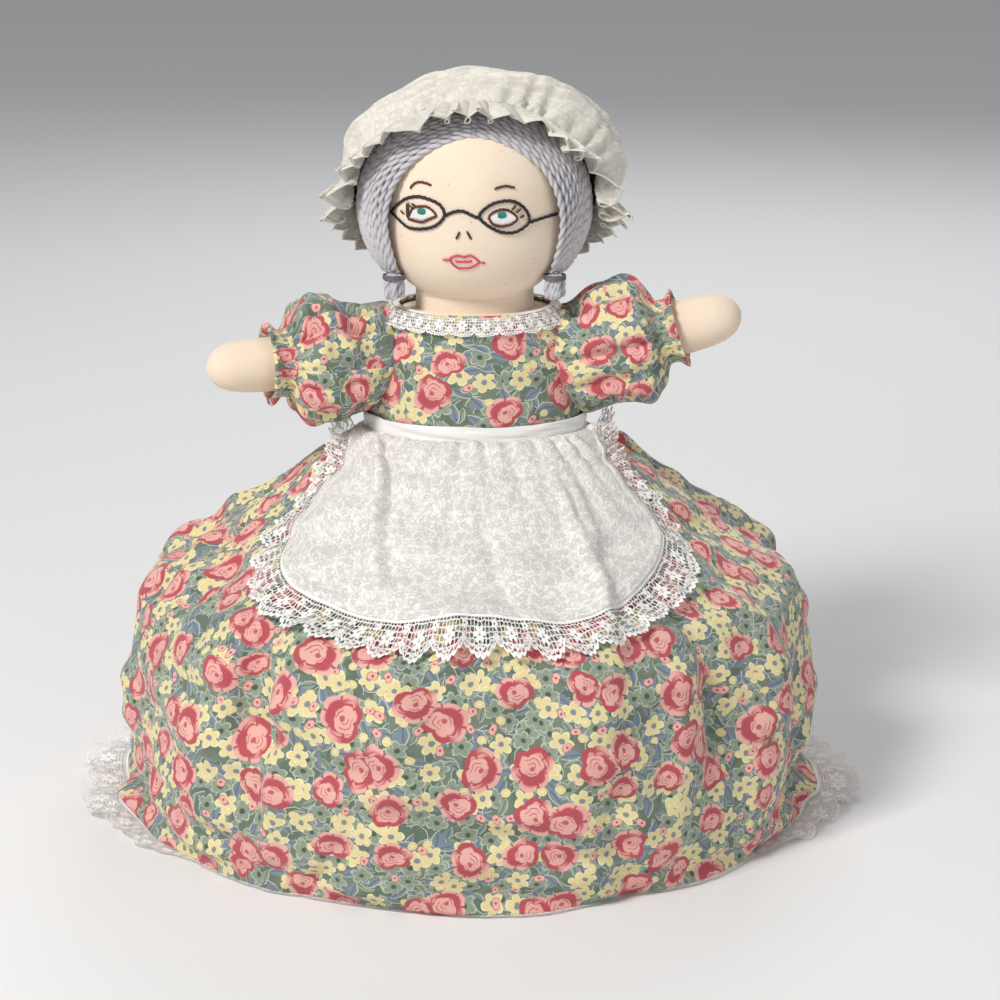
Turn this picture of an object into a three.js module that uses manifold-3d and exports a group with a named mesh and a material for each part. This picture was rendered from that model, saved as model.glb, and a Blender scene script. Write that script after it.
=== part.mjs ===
// Topsy-turvy doll: two stuffed half dolls joined at the waist, with one reversible skirt.
// Millimetres, +Z up, the doll's front faces -Y. The floor is Z = 0.
import * as THREE from 'three';
import { mergeVertices } from 'three/addons/utils/BufferGeometryUtils.js';
import Module from 'manifold-3d';

const wasm = await Module();
wasm.setup();

// Fits
const seamGap = 0.3; // between sewn pieces
const drapeGap = 0.9; // between a loose layer and what it lies on

// Places
const waistHeight = 180; // the seam between the two halves, above the floor
const dollOffset = 4; // the doll's axis lies this far right of the hem's middle
const depthOffset = -6.5; // and this far in front of it

// Stuffed torso of one half
const torsoLength = 60;
const torsoTaperLength = torsoLength + 6; // height at which the shoulders' curve would close
const waistHalfWidth = 48;
const waistHalfDepth = 30;
const neckHalfWidth = 24;
const neckHalfDepth = 20;
const shoulderPower = 3;

// Bodice
const bodiceCloth = 2;
const bodiceRise = 4.2; // bottom edge above the waist seam
const bodiceTop = torsoLength + 0.8;

// Neck seat, a body of revolution about the nodding axis
const neckSeatHeight = torsoLength - 3;
const neckSeatHalfWidth = 28;
const neckSeatRadius = 19;
const neckPlay = 0.8;
const neckNarrowing = 0.97; // the neck's column inside the seat's ends

// Head
const headCentreHeight = neckSeatHeight + 51;
const headHalfWidth = 44;
const headHalfDepth = 37;
const headHalfHeight = 44;
const faceFullness = 2.5; // roundness power of the stuffed head's outline

// Yarn hair
const hairHalfWidth = headHalfWidth + 11;
const hairHalfDepth = headHalfDepth + 7;
const hairHalfHeight = headHalfHeight + 6;
const hairSetBack = 3;
const napeHeight = headCentreHeight - 41;
const napeBackHeight = headCentreHeight - 32;
const napeBackStart = 8;
const faceHalfWidth = headHalfWidth - 3;
const facePeakHeight = headCentreHeight + 33;
const faceWidestHeight = headCentreHeight - 4;
const faceOpeningDepth = 2;
const faceOpeningReach = 0.3; // how far the opening's curve passes the level, in half turns

const bunchOutset = 37;
const bunchForward = 17;
const bunchTieHeight = headCentreHeight - 29;
const bunchLength = 13;
const bunchRadius = 6.5;
const bunchShares = [[0, 0], [0.25, 0], [0.45, 0.8], [0.8, 1], [1, 0]]; // of its length, of its swell
const tieRadius = 4.2;
const tieCord = 1.6;

// Mob cap
const capTilt = 35; // degrees, from level to the axis that it is drawn off along
const capCloth = 1.8;
const capDepth = 47;
const capNapeHalf = 41; // the brim's reach below the head's centre, along its slope
const capPuff = 12;
const capPuffPower = 0.8; // how soon the puff swells behind the brim
const capPuffStart = 1.15; // the brim lies this far before the puff's widest half
const capRoundness = 2.6; // powers of the crown's closing curve
const capFlatness = 2.2;
const capDepthPower = 0.9;
const capLean = 5; // the crown's fullness falls to one side
const ruffleReach = 10;
const ruffleFolds = 22;
const ruffleCloth = 1.4;
const ruffleWave = 2.6;
const ruffleFoldLean = 0.2; // the folds' crests lean forwards
const ruffleSlope = 0.45; // outwards, per length
const ruffleNapePower = 0.7;
const ruffleNapeShare = 0.4; // the ruffle is short under the nape

// Arms
const shoulderOutset = waistHalfWidth;
const shoulderHeight = 36;
const shoulderRadius = 22;
const armLength = 80;
const armRootRadius = 11;
const armRootInset = armRootRadius / 2;
const armRootLength = 7;
const wristRadius = 12.6;
const wristSwell = 0.4;
const handRadius = 10.5;
const handLength = handRadius * 1.9;
const handTaper = 8; // the swollen wrist ends this far before the hand
const armRootShares = [[0, 0], [0.36, 0.75], [1, 1]]; // of the root's length, of its radius
const handShares = [[0, 1.1], [0.53, 1], [0.82, 0.72], [1, 0]]; // of the hand's length, of its radius
const upperArmRaiseLeft = 0;
const upperArmRaiseRight = 17;
const upperArmYawLeft = 18; // degrees towards the front
const upperArmYawRight = 6;
const lowerArmRaise = 36;
const lowerArmYaw = 5;

// Sleeves
const sleeveCloth = 2;
const upperPuffRadius = 28;
const lowerPuffRadius = 21; // pressed smaller inside the skirt
const puffReach = 27;
const puffEnd = 38;
const puffEndTaper = 6;
const puffRound = 4; // the puff turns in over this length before its end
const puffRoundShare = 0.95; // its radius there, as a share
const puffSwell = [0.74, 0.88]; // where the puff has nearly swollen, and its radius there, as shares
const armholeTurn = 0.7; // the part of the ball in the armhole that the sleeve covers, in half turns
const armholeHollow = 0.68;
const cuffStart = 42;
const cuffEnd = 50;
const cuffFlare = 1.6;
const elasticWidth = 3;
const elasticThickness = 1.4;

// Neckline trims
const neckLaceDrop = 8;
const neckLaceRise = 4;
const laceThickness = 1;

// Skirts
const skirtCloth = 1.6;
const liningCloth = 1.2;
const skirtWaistRise = 2.2; // top edge of the outer skirt above the waist seam
const liningWaistDrop = 2.2; // top edge of the inner skirt below it
const skirtRight = 163;
const skirtLeft = skirtRight + 8;
const skirtFront = skirtRight - 7;
const skirtBack = skirtFront - 10;
const skirtFolds = 11; // waves around, with a second train of fewer
const skirtFewerFolds = 7;
const skirtFoldShare = 0.65; // the first train's part of the depth
const skirtFoldTurn = 0.6; // where the first train starts, radians
const skirtFewerTurn = 2.1;
const skirtFrontCalm = 0.7; // the front is smoother near the waist
const skirtFoldDepth = 5;
const skirtBackFullness = 0.4; // the folds are deeper at the back by this share
const skirtPleats = [
  // degrees from +X at its top, turn in degrees for a whole fall, half width, fall at its top and foot, depth
  [-141, -4, 9, 0.5, 0.97, 5], // the full bulge left of the front
  [-124.5, -6, 5.5, 0.5, 0.92, -6], // the deep fold beside it
  [-115, -8, 6.5, 0.5, 0.95, 3.5],
  [-74, 20, 6.5, 0.52, 0.92, 2.5],
  [-64, 28, 5.5, 0.52, 0.86, -3.5],
  [-38, -22, 5.5, 0.52, 0.86, -4.5],
  [-28, -16, 7, 0.5, 0.95, 3.5],
  [-12, 40, 5.5, 0.32, 0.6, -4], // the pleat beyond the apron's right corner
];
const pleatTopEase = 0.16; // share of the fall over which a pleat deepens, and over which it runs out
const pleatFootEase = 0.2;
const skirtLowestFall = 0.005; // the cloth starts this far above the floor, as a share of its fall
const hemTurnIn = 15;
const hemFlare = 8; // outwards, where the hem comes out
const hemPinch = 5; // inwards above it
const hemPinchFall = 0.88;
const hemPinchHeight = 0.07;
const hemFrontTuck = 1.6; // how wide the front is that hides the lace
const hemTuckedWidth = 3;
const liningPleatClear = 6; // and this far inside its pleats, in front
const liningClear = 1.2; // the lining keeps this many folds' depth inside the skirt
const liningClearFall = 0.24; // from this fall on
const hemLaceWidth = 16;
const hemLaceFolds = 30;
const hemLaceWave = 1.6;

// Apron
const bandWidth = 6;
const bandThickness = 1.2;
const bandRise = 4.4; // bottom edge above the waist seam
const apronCloth = 1;
const apronTopSpread = 72; // degrees to each side of the front
const apronLowSpread = 57;
const apronFlare = 1.25; // the panel reaches its low spread before its end
const apronTop = 0.045; // share of the skirt's fall where the panel starts
const apronDrop = 0.45; // and where it ends
const apronCornerRise = 0.3; // rounding of the lower corners, as a share of the drop
const apronCornerPower = 4;
const apronLift = 1.5; // above the skirt
const apronLaceWidth = 13;
const apronLaceStart = 0.12; // share of the panel's sides above the lace
const apronLaceSides = 0.3; // share of the lace's length along each side
const apronLaceSet = 1.1; // from the panel's edge
const skirtSlope = 175; // length of the slope for a whole fall, on the front
const bowKnot = 5;
const bowLoopLength = 24;
const bowLoopWidth = 11;
const bowTailLength = 42;
const bowTailFall = 0.03; // share of the skirt's fall above the tails
const bowTailAngle = 0.09; // radians from the back's middle
const bowTailSpread = 0.1;
const bowTailLift = 1.5; // above the skirt
const bowLoopCurves = [[0.6, -0.35, 1, -0.15], [1.08, 0.3, 0.9, 0.7]]; // shares of its reach and width
const bowLoopReturn = [0.5, 0.6];
const bowNeck = 5; // the loop leaves the knot as wide as this part of the ribbon
const bowTailSettle = 0.3; // share of the tail that hangs before it lies on the skirt
const ribbonWidth = 7;
const ribbonThickness = 1.4;

// Facets
const upperAround = 22;
const lowerAround = 12;
const hairAround = 20;
const skirtAround = 56;
const liningAround = 24;
const apronAround = 18;
const apronRows = 8;
const headAround = 20;
const headRows = 10;
const neckAround = 16;
const neckSteps = 10;
const ballAround = 16;
const ballRows = 10;
const sleeveAround = 16;
const lowerSleeveAround = 12;
const armholeSteps = 5;
const bunchAround = 12;
const tieSides = 5;
const knotAround = 8;
const knotRows = 6;
const capAround = 26;
const capRows = 7;
const faceSteps = 14;
const skirtRows = [skirtLowestFall, 0.08, 0.16, 0.25, 0.36, 0.48, 0.62, 0.76, 0.88];
const liningRows = [0.07, 0.2, 0.36, 0.54, 0.72, 0.88];
const tailRows = 9;
const poleRadius = 0.5; // radius where a turned form closes

const radians = THREE.MathUtils.degToRad;

// Surfaces

// A closed body from rings of equal counts: ends closed by fans, or the last ring joined to the first.
function wrapRings(rings, looped = false) {
  const around = rings[0].length;
  const points = rings.flat();
  const faces = [];
  const last = looped ? rings.length : rings.length - 1;
  for (let i = 0; i < last; i += 1) {
    const below = i * around;
    const above = ((i + 1) % rings.length) * around;
    for (let j = 0; j < around; j += 1) {
      const next = (j + 1) % around;
      faces.push(below + j, below + next, above + next, below + j, above + next, above + j);
    }
  }
  if (!looped) {
    for (const [ring, turned] of [[0, true], [rings.length - 1, false]]) {
      const centre = new THREE.Vector3();
      rings[ring].forEach((point) => centre.add(point));
      points.push(centre.divideScalar(around));
      for (let j = 0; j < around; j += 1) {
        const pair = [ring * around + j, ring * around + ((j + 1) % around)];
        if (turned) pair.reverse();
        faces.push(pair[0], pair[1], points.length - 1);
      }
    }
  }
  return closedGeometry(points, faces);
}

// A thin closed sheet between two grids of the same size, front(u, v) and back(u, v), u and v from 0 to 1.
function sheetBetween(front, back, across, down) {
  const points = [];
  for (const side of [front, back]) {
    for (let i = 0; i <= down; i += 1) {
      for (let j = 0; j <= across; j += 1) points.push(side(j / across, i / down));
    }
  }
  const row = across + 1;
  const half = row * (down + 1);
  const faces = [];
  const quad = (a, b, c, d) => faces.push(a, b, c, a, c, d);
  for (let i = 0; i < down; i += 1) {
    for (let j = 0; j < across; j += 1) {
      const a = i * row + j;
      quad(a, a + 1, a + row + 1, a + row);
      quad(half + a + row, half + a + row + 1, half + a + 1, half + a);
    }
  }
  const border = [];
  for (let j = 0; j < across; j += 1) border.push(j);
  for (let i = 0; i < down; i += 1) border.push(i * row + across);
  for (let j = across; j > 0; j -= 1) border.push(down * row + j);
  for (let i = down; i > 0; i -= 1) border.push(i * row);
  border.forEach((a, k) => {
    const b = border[(k + 1) % border.length];
    quad(a, a + half, b + half, b);
  });
  return closedGeometry(points, faces);
}

// Vertices are merged and the faces turned outwards.
function closedGeometry(points, faces) {
  const raw = new THREE.BufferGeometry().setFromPoints(points);
  raw.setIndex(faces);
  const merged = mergeVertices(raw, 1e-4);
  const index = [...merged.index.array];
  const kept = [];
  for (let i = 0; i < index.length; i += 3) {
    const [a, b, c] = index.slice(i, i + 3);
    if (a !== b && b !== c && a !== c) kept.push(a, b, c);
  }
  const place = merged.attributes.position;
  const corner = [0, 1, 2].map(() => new THREE.Vector3());
  let volume = 0;
  for (let i = 0; i < kept.length; i += 3) {
    corner.forEach((v, k) => v.fromBufferAttribute(place, kept[i + k]));
    volume += corner[0].dot(corner[1].clone().cross(corner[2]));
  }
  if (volume < 0) {
    for (let i = 0; i < kept.length; i += 3) [kept[i], kept[i + 1]] = [kept[i + 1], kept[i]];
  }
  merged.setIndex(kept);
  return merged;
}

function solidOf(geometry) {
  const bare = geometry.clone();
  bare.deleteAttribute('normal');
  bare.deleteAttribute('uv');
  const merged = mergeVertices(bare, 1e-4);
  const clean = closedGeometry(
    Array.from({ length: merged.attributes.position.count }, (_, i) => (
      new THREE.Vector3().fromBufferAttribute(merged.attributes.position, i))),
    [...merged.index.array],
  );
  return new wasm.Manifold(new wasm.Mesh({
    numProp: 3,
    vertProperties: new Float32Array(clean.attributes.position.array),
    triVerts: new Uint32Array(clean.index.array),
  }));
}

function geometryOf(solid) {
  const mesh = solid.getMesh();
  const geometry = new THREE.BufferGeometry();
  geometry.setAttribute('position', new THREE.BufferAttribute(new Float32Array(mesh.vertProperties), 3));
  geometry.setIndex([...mesh.triVerts]);
  return geometry;
}

function cut(geometry, ...tools) {
  let solid = solidOf(geometry);
  for (const tool of tools) solid = solid.subtract(solidOf(tool));
  return geometryOf(solid);
}

function join(geometry, ...others) {
  let solid = solidOf(geometry);
  for (const other of others) solid = solid.add(solidOf(other));
  return geometryOf(solid);
}

function ellipsoid(halfX, halfY, halfZ, centre, around, rows) {
  const shape = new THREE.SphereGeometry(1, around, rows);
  shape.rotateX(Math.PI / 2);
  shape.scale(halfX, halfY, halfZ);
  shape.translate(centre.x, centre.y, centre.z);
  return shape;
}

function block(low, high) {
  const size = new THREE.Vector3().subVectors(high, low);
  const shape = new THREE.BoxGeometry(size.x, size.y, size.z);
  shape.translate((low.x + high.x) / 2, (low.y + high.y) / 2, (low.z + high.z) / 2);
  return shape;
}

function ellipseRing(halfX, halfY, height, around, centreX = 0, centreY = 0) {
  return Array.from({ length: around }, (_, j) => {
    const angle = (j / around) * 2 * Math.PI;
    return new THREE.Vector3(
      centreX + halfX * Math.cos(angle), centreY + halfY * Math.sin(angle), height);
  });
}

// A solid turned about +X from [along, radius] pairs; where looped, the profile closes on itself.
function turned(profile, around, looped = false) {
  const rings = profile.map(([along, radius]) => Array.from({ length: around }, (_, j) => {
    const angle = (j / around) * 2 * Math.PI;
    return new THREE.Vector3(along, radius * Math.cos(angle), radius * Math.sin(angle));
  }));
  return wrapRings(rings, looped);
}

function piece(name, geometry, material) {
  const shown = geometry.clone();
  shown.computeVertexNormals();
  const mesh = new THREE.Mesh(shown, material.clone());
  mesh.name = name;
  return mesh;
}

const finish = (color, roughness) => new THREE.MeshStandardMaterial({ color, roughness, metalness: 0 });
const cloths = {
  muslin: finish(0xf0dcbc, 0.85),
  stuffing: finish(0xeadcc4, 0.9),
  yarn: finish(0x9997a8, 0.9),
  brownYarn: finish(0x6b4a32, 0.9),
  thread: finish(0x241c20, 0.7),
  capCotton: finish(0xe9e4d6, 0.8),
  print: finish(0x8f8f7a, 0.85),
  lace: finish(0xe9e4e2, 0.8),
  satin: finish(0xf2f2f2, 0.4),
  apronCotton: finish(0xeceae4, 0.8),
  elastic: finish(0xe8e8e4, 0.7),
  lining: finish(0xb0706c, 0.85),
};

// Torso outline, half width and half depth at a height above the waist: straight between its stations
const torsoShares = [-0.03, 0, 0.27, 0.53, 0.73, 0.87, 0.97, 1.02, 1.05];
const torsoStations = torsoShares.map((share) => share * torsoLength);

function torsoStation(height) {
  const share = Math.min(Math.abs(height) / torsoTaperLength, 1);
  const fullness = Math.sqrt(1 - share ** shoulderPower);
  return [
    neckHalfWidth + (waistHalfWidth - neckHalfWidth) * fullness,
    neckHalfDepth + (waistHalfDepth - neckHalfDepth) * fullness,
  ];
}

function torsoAt(height, proud = 0) {
  const after = torsoStations.findIndex((station) => station > height);
  const [low, high] = [torsoStations[after - 1], torsoStations[after]];
  const share = (height - low) / (high - low);
  const [from, to] = [torsoStation(low), torsoStation(high)];
  return [0, 1].map((k) => from[k] + (to[k] - from[k]) * share + proud);
}

function torsoHeights(low, high) {
  const between = torsoStations.filter((station) => station > low && station < high);
  return [low, ...between, high];
}

function torsoForm(low, high, proud, around) {
  return wrapRings(torsoHeights(low, high).map((height) => (
    ellipseRing(...torsoAt(height, proud), height, around))));
}

const shoulderAt = (side) => new THREE.Vector3(side * shoulderOutset, 0, shoulderHeight);
// The socket's flats stay clear of a ball that turns in it
const shoulderBall = (side, gap) => {
  const flats = Math.cos(Math.PI / ballAround) * Math.cos(Math.PI / ballRows / 2);
  const radius = (shoulderRadius + gap) / flats;
  return ellipsoid(radius, radius, radius, shoulderAt(side), ballAround, ballRows);
};
const bothShoulders = () => [-1, 1].map((side) => shoulderBall(side, seamGap));

// The neck's seat is round about X, so that the head nods in it
function neckSeat(gap) {
  const profile = Array.from({ length: neckSteps + 1 }, (_, i) => {
    const angle = Math.PI * (1 - i / neckSteps);
    return [
      (neckSeatHalfWidth + gap) * Math.cos(angle),
      Math.max((neckSeatRadius + gap) * Math.sin(angle), poleRadius)];
  });
  const seat = turned(profile, neckAround);
  seat.translate(0, 0, neckSeatHeight);
  return seat;
}

function makeTorso(around) {
  const body = torsoForm(seamGap / 2, torsoLength, 0, around);
  return cut(body, neckSeat(neckPlay), ...bothShoulders());
}

function makeBodice(around) {
  const outer = torsoForm(bodiceRise, bodiceTop, seamGap + bodiceCloth, around);
  const inner = torsoForm(bodiceRise - 1, bodiceTop + 1, seamGap, around);
  return cut(outer, inner, ...bothShoulders());
}

// The lace lies on the bodice round the neckline, with its upper edge standing free
function makeNeckTrim(around) {
  const onBodice = seamGap + bodiceCloth + seamGap;
  const heights = [bodiceTop - neckLaceDrop, bodiceTop - neckLaceDrop / 2, bodiceTop];
  const ring = (height, proud) => ellipseRing(...torsoAt(height, proud), height, around);
  const inner = heights.map((height) => ring(height, onBodice));
  const outer = heights.map((height) => ring(height, onBodice + laceThickness));
  const topHeight = bodiceTop + neckLaceRise;
  const [halfX, halfY] = torsoAt(bodiceTop, onBodice);
  const brim = [
    ellipseRing(halfX, halfY, topHeight, around),
    ellipseRing(halfX + laceThickness, halfY + laceThickness, topHeight, around),
  ];
  const band = wrapRings([...inner, ...brim, ...outer.reverse()], true);
  return cut(band, ...bothShoulders());
}

// The stuffed head swells from the neck seat: rings of a rounded oval about the head's centre
function headForm(proud) {
  const rings = [];
  for (let i = 1; i < headRows; i += 1) {
    const angle = (i / headRows) * Math.PI;
    const height = headCentreHeight - (headHalfHeight + proud) * Math.cos(angle);
    const share = (1 - Math.abs(Math.cos(angle)) ** faceFullness) ** (1 / faceFullness);
    rings.push(ellipseRing(
      (headHalfWidth + proud) * share, (headHalfDepth + proud) * share, height, headAround));
  }
  return wrapRings(rings);
}

function neckColumn(gap) {
  const halfX = (neckSeatHalfWidth + gap) * neckNarrowing;
  const halfY = (neckSeatRadius + gap) * neckNarrowing;
  return wrapRings([
    ellipseRing(halfX, halfY, neckSeatHeight, neckAround),
    ellipseRing(halfX, halfY, headCentreHeight - headHalfHeight / 2, neckAround),
  ]);
}

function makeHead() {
  return join(headForm(0), neckColumn(0), neckSeat(0));
}

// The face's outline seen from the front, from the chin's left round the parting to its right
function faceOpening() {
  const points = [];
  const past = faceOpeningReach * Math.PI;
  for (let i = 0; i <= faceSteps; i += 1) {
    const angle = -past + (i / faceSteps) * (Math.PI + 2 * past);
    const rise = angle > 0 && angle < Math.PI ? facePeakHeight - faceWidestHeight : faceHalfWidth;
    points.push(new THREE.Vector2(
      faceHalfWidth * Math.cos(angle), faceWidestHeight + rise * Math.sin(angle)));
  }
  const shape = new THREE.Shape([
    ...points,
    new THREE.Vector2(-faceHalfWidth * Math.cos(past), neckSeatHeight),
    new THREE.Vector2(faceHalfWidth * Math.cos(past), neckSeatHeight),
  ]);
  const reach = 2 * hairHalfDepth;
  const opening = new THREE.ExtrudeGeometry(shape, { depth: reach, bevelEnabled: false });
  opening.rotateX(Math.PI / 2);
  opening.translate(0, -faceOpeningDepth, 0);
  return opening;
}

function hairForm(proud) {
  return ellipsoid(
    hairHalfWidth + proud, hairHalfDepth + proud, hairHalfHeight + proud,
    new THREE.Vector3(0, hairSetBack, headCentreHeight), hairAround, hairAround / 2);
}

function makeHair() {
  const wide = 2 * hairHalfWidth;
  const below = block(
    new THREE.Vector3(-wide, -wide, 0), new THREE.Vector3(wide, wide, napeHeight));
  const belowBack = block(
    new THREE.Vector3(-wide, napeBackStart, 0), new THREE.Vector3(wide, wide, napeBackHeight));
  return cut(
    hairForm(0), headForm(seamGap), neckColumn(seamGap), faceOpening(), below, belowBack,
    outsideCap());
}

// The yarn ends below a tie: a tuft, drawn in under its thread
function makeBunch(side) {
  const rings = bunchShares.map(([share, swell]) => {
    const radius = tieRadius + (bunchRadius - tieRadius) * swell;
    const height = bunchTieHeight - share * bunchLength;
    return ellipseRing(radius, radius, height, bunchAround, side * bunchOutset, -bunchForward);
  });
  return cut(wrapRings(rings), hairForm(seamGap), headForm(seamGap));
}

function makeTie(side) {
  const middle = tieRadius + seamGap + tieCord / 2;
  const rings = Array.from({ length: tieSides }, (_, k) => {
    const angle = (k / tieSides) * 2 * Math.PI;
    const radius = middle + (tieCord / 2) * Math.cos(angle);
    const height = bunchTieHeight - tieCord + (tieCord / 2) * Math.sin(angle);
    return ellipseRing(radius, radius, height, bunchAround, side * bunchOutset, -bunchForward);
  });
  return cut(wrapRings(rings, true), hairForm(seamGap), headForm(seamGap));
}

// Mob cap, in a frame whose +Z is the axis that it is drawn off along and whose -Y is towards the crown
function capFrame() {
  const frame = new THREE.Group();
  frame.position.set(0, hairSetBack, headCentreHeight);
  frame.rotation.x = -radians(90 - capTilt);
  return frame;
}

// Half height of the hair's section square to that axis
function hairSectionHalf() {
  const tilt = radians(capTilt);
  return 1 / Math.hypot(Math.sin(tilt) / hairHalfDepth, Math.cos(tilt) / hairHalfHeight);
}

// A point of the brim's outline, out from the cloth's outside by so much
function brimPoint(angle, out, along) {
  const ease = seamGap + drapeGap + capCloth + out;
  const rise = Math.sin(angle) < 0 ? hairSectionHalf() : capNapeHalf;
  return new THREE.Vector3(
    (hairHalfWidth + ease) * Math.cos(angle), (rise + ease) * Math.sin(angle), along);
}

// Rings of the crown from the brim back, so far inside its outside; plain without its puff and lean
function capRings(inset, plain = false) {
  const depth = capDepth + capPuff - inset;
  const [puff, lean] = plain ? [0, 0] : [capPuff, capLean];
  const rings = [];
  for (let i = 0; i < capRows; i += 1) {
    const share = i / capRows;
    const full = Math.sin(Math.PI * Math.min(share * capPuffStart, 1)) ** capPuffPower;
    const close = (1 - share ** capRoundness) ** (1 / capFlatness);
    rings.push(Array.from({ length: capAround }, (_, j) => {
      const angle = (j / capAround) * 2 * Math.PI;
      const point = brimPoint(angle, puff * full - inset, 0);
      return new THREE.Vector3(
        point.x * close + lean * full, point.y * close, depth * share ** capDepthPower);
    }));
  }
  return rings;
}

function makeCrown() {
  const outer = capRings(0);
  const inner = capRings(capCloth);
  return wrapRings([...outer.reverse(), ...inner]);
}

// All the room that the hair keeps out of, so that the brim can be drawn off over it
function outsideCap() {
  const inner = capRings(capCloth + seamGap, true);
  const front = ruffleReach + 2 * seamGap;
  const sleeve = inner[0].map((point) => new THREE.Vector3(point.x, point.y, -front - 1));
  const wide = 2 * hairHalfWidth;
  const room = cut(
    block(new THREE.Vector3(-wide, -wide, -front), new THREE.Vector3(wide, wide, wide)),
    wrapRings([sleeve, ...inner]));
  const frame = capFrame();
  frame.updateMatrix();
  return room.applyMatrix4(frame.matrix);
}

// The ruffle fans out from the brim in even folds
function makeRuffle() {
  const around = ruffleFolds * 4;
  const ring = (share, thick) => Array.from({ length: around }, (_, j) => {
    const angle = (j / around) * 2 * Math.PI;
    const low = Math.max(0, Math.sin(angle)) ** ruffleNapePower;
    const full = share * (1 - (1 - ruffleNapeShare) * low);
    const fold = Math.sin(angle * ruffleFolds) * ruffleWave * full;
    const out = fold + ruffleReach * ruffleSlope * full + thick - capCloth;
    return brimPoint(angle, out, -seamGap - ruffleReach * full - fold * ruffleFoldLean);
  });
  return wrapRings([
    ring(0, 0), ring(1, 0), ring(1, ruffleCloth), ring(0, ruffleCloth),
  ], true);
}

// Arms lie along +X from the shoulder's centre, which is the point that they swing about
function armProfile() {
  const handStart = armLength - handLength;
  const root = armRootShares.map(([along, wide]) => [
    along * armRootLength - armRootInset, Math.max(wide * armRootRadius, poleRadius)]);
  const hand = handShares.map(([along, wide]) => [
    handStart + along * handLength, Math.max(wide * handRadius, poleRadius)]);
  const wrist = [[cuffStart, wristRadius], [handStart - handTaper, wristRadius + wristSwell]];
  return [...root, ...wrist, ...hand];
}

const armRadiusAt = (along) => {
  const profile = armProfile();
  const after = profile.findIndex(([place]) => place > along);
  const [low, high] = [profile[after - 1], profile[after]];
  return low[1] + ((high[1] - low[1]) * (along - low[0])) / (high[0] - low[0]);
};

// The puffed sleeve's outside: a ball seated in the armhole, the puff, the gathered cuff
function sleeveOutline(puffRadius) {
  const outline = [];
  for (let i = 0; i <= armholeSteps; i += 1) {
    const angle = Math.PI * (1 - (armholeTurn * i) / armholeSteps);
    outline.push([
      shoulderRadius * Math.cos(angle), Math.max(shoulderRadius * Math.sin(angle), poleRadius)]);
  }
  const grip = armRadiusAt(cuffStart) + seamGap + sleeveCloth;
  const [swollen, swollenRadius] = puffSwell;
  outline.push(
    [puffReach * swollen, puffRadius * swollenRadius], [puffReach, puffRadius],
    [puffEnd - puffRound, puffRadius * puffRoundShare], [puffEnd, puffRadius - puffEndTaper],
    [cuffStart - seamGap, grip + 1], [cuffStart + elasticWidth, grip], [cuffEnd, grip + cuffFlare]);
  return outline;
}

function makeSleeve(puffRadius, around) {
  const bore = (along) => armRadiusAt(along) + seamGap;
  const groove = bore(cuffStart) + elasticThickness;
  const grooveEnd = cuffStart + elasticWidth + seamGap;
  const [swollen, swollenRadius] = puffSwell;
  const inside = [
    [cuffEnd, bore(cuffEnd)], [grooveEnd, bore(grooveEnd)], [grooveEnd, groove],
    [cuffStart - seamGap, groove],
    [puffEnd, Math.max(puffRadius - puffEndTaper - sleeveCloth - 1, bore(puffEnd) + seamGap)],
    [puffEnd - puffRound, puffRadius * puffRoundShare - sleeveCloth],
    [puffReach, puffRadius - sleeveCloth],
    [puffReach * swollen, puffRadius * swollenRadius - sleeveCloth]];
  const hollow = shoulderRadius - sleeveCloth;
  for (let i = 1; i <= armholeSteps; i += 1) {
    const angle = Math.PI * (1 - armholeHollow + (armholeHollow * (i - 1)) / (armholeSteps - 1));
    inside.push([hollow * Math.cos(angle), Math.max(hollow * Math.sin(angle), poleRadius)]);
  }
  return turned([...sleeveOutline(puffRadius), ...inside], around);
}

function makeElastic(around) {
  const low = armRadiusAt(cuffStart) + seamGap;
  const high = low + elasticThickness * 0.45;
  return turned([
    [cuffStart, low], [cuffStart + elasticWidth, low + 0.1],
    [cuffStart + elasticWidth, high], [cuffStart, high]], around, true);
}

function armGroup(name, side, raise, yaw, options) {
  const { sleeveAround: around, flipped } = options;
  const group = new THREE.Group();
  group.position.copy(shoulderAt(side));
  group.rotation.order = 'ZYX';
  group.rotation.y = -radians(raise);
  group.rotation.z = side > 0 ? -radians(yaw) : Math.PI + radians(yaw);
  const label = (side > 0) !== flipped ? 'right' : 'left';
  group.add(
    piece(`${name}_arm_${label}`, turned(armProfile(), around), cloths.muslin),
    piece(`${name}_sleeve_${label}`, makeSleeve(options.puffRadius, around), options.cloth),
    piece(`${name}_cuff_elastic_${label}`, makeElastic(around), cloths.elastic));
  return group;
}

// Skirt: how far out it has come by each height, as a smooth curve from the waist to the floor
const skirtFall = [
  // share of the height, share of the way out to the sides, share of the way to front and back
  [1, 0, 0], [0.97, 0.09, 0.11], [0.93, 0.18, 0.22], [0.81, 0.42, 0.5], [0.7, 0.68, 0.77],
  [0.59, 0.91, 0.93], [0.41, 0.98, 0.98], [0.25, 1, 1], [0.1, 0.99, 0.99], [0, 0.955, 0.955],
];
const fallCurve = new THREE.CatmullRomCurve3(
  skirtFall.map(([rise, wide, deep]) => new THREE.Vector3(wide, deep, rise)), false, 'centripetal');

// The hem comes out from under the skirt at the sides and back, and stays tucked under in front
const hemOut = (angle) => {
  const front = Math.max(0, -Math.sin(angle));
  return 1 - Math.min(1, front * hemFrontTuck) ** 2;
};

const bell = (away) => Math.exp(-(away ** 2));

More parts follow.
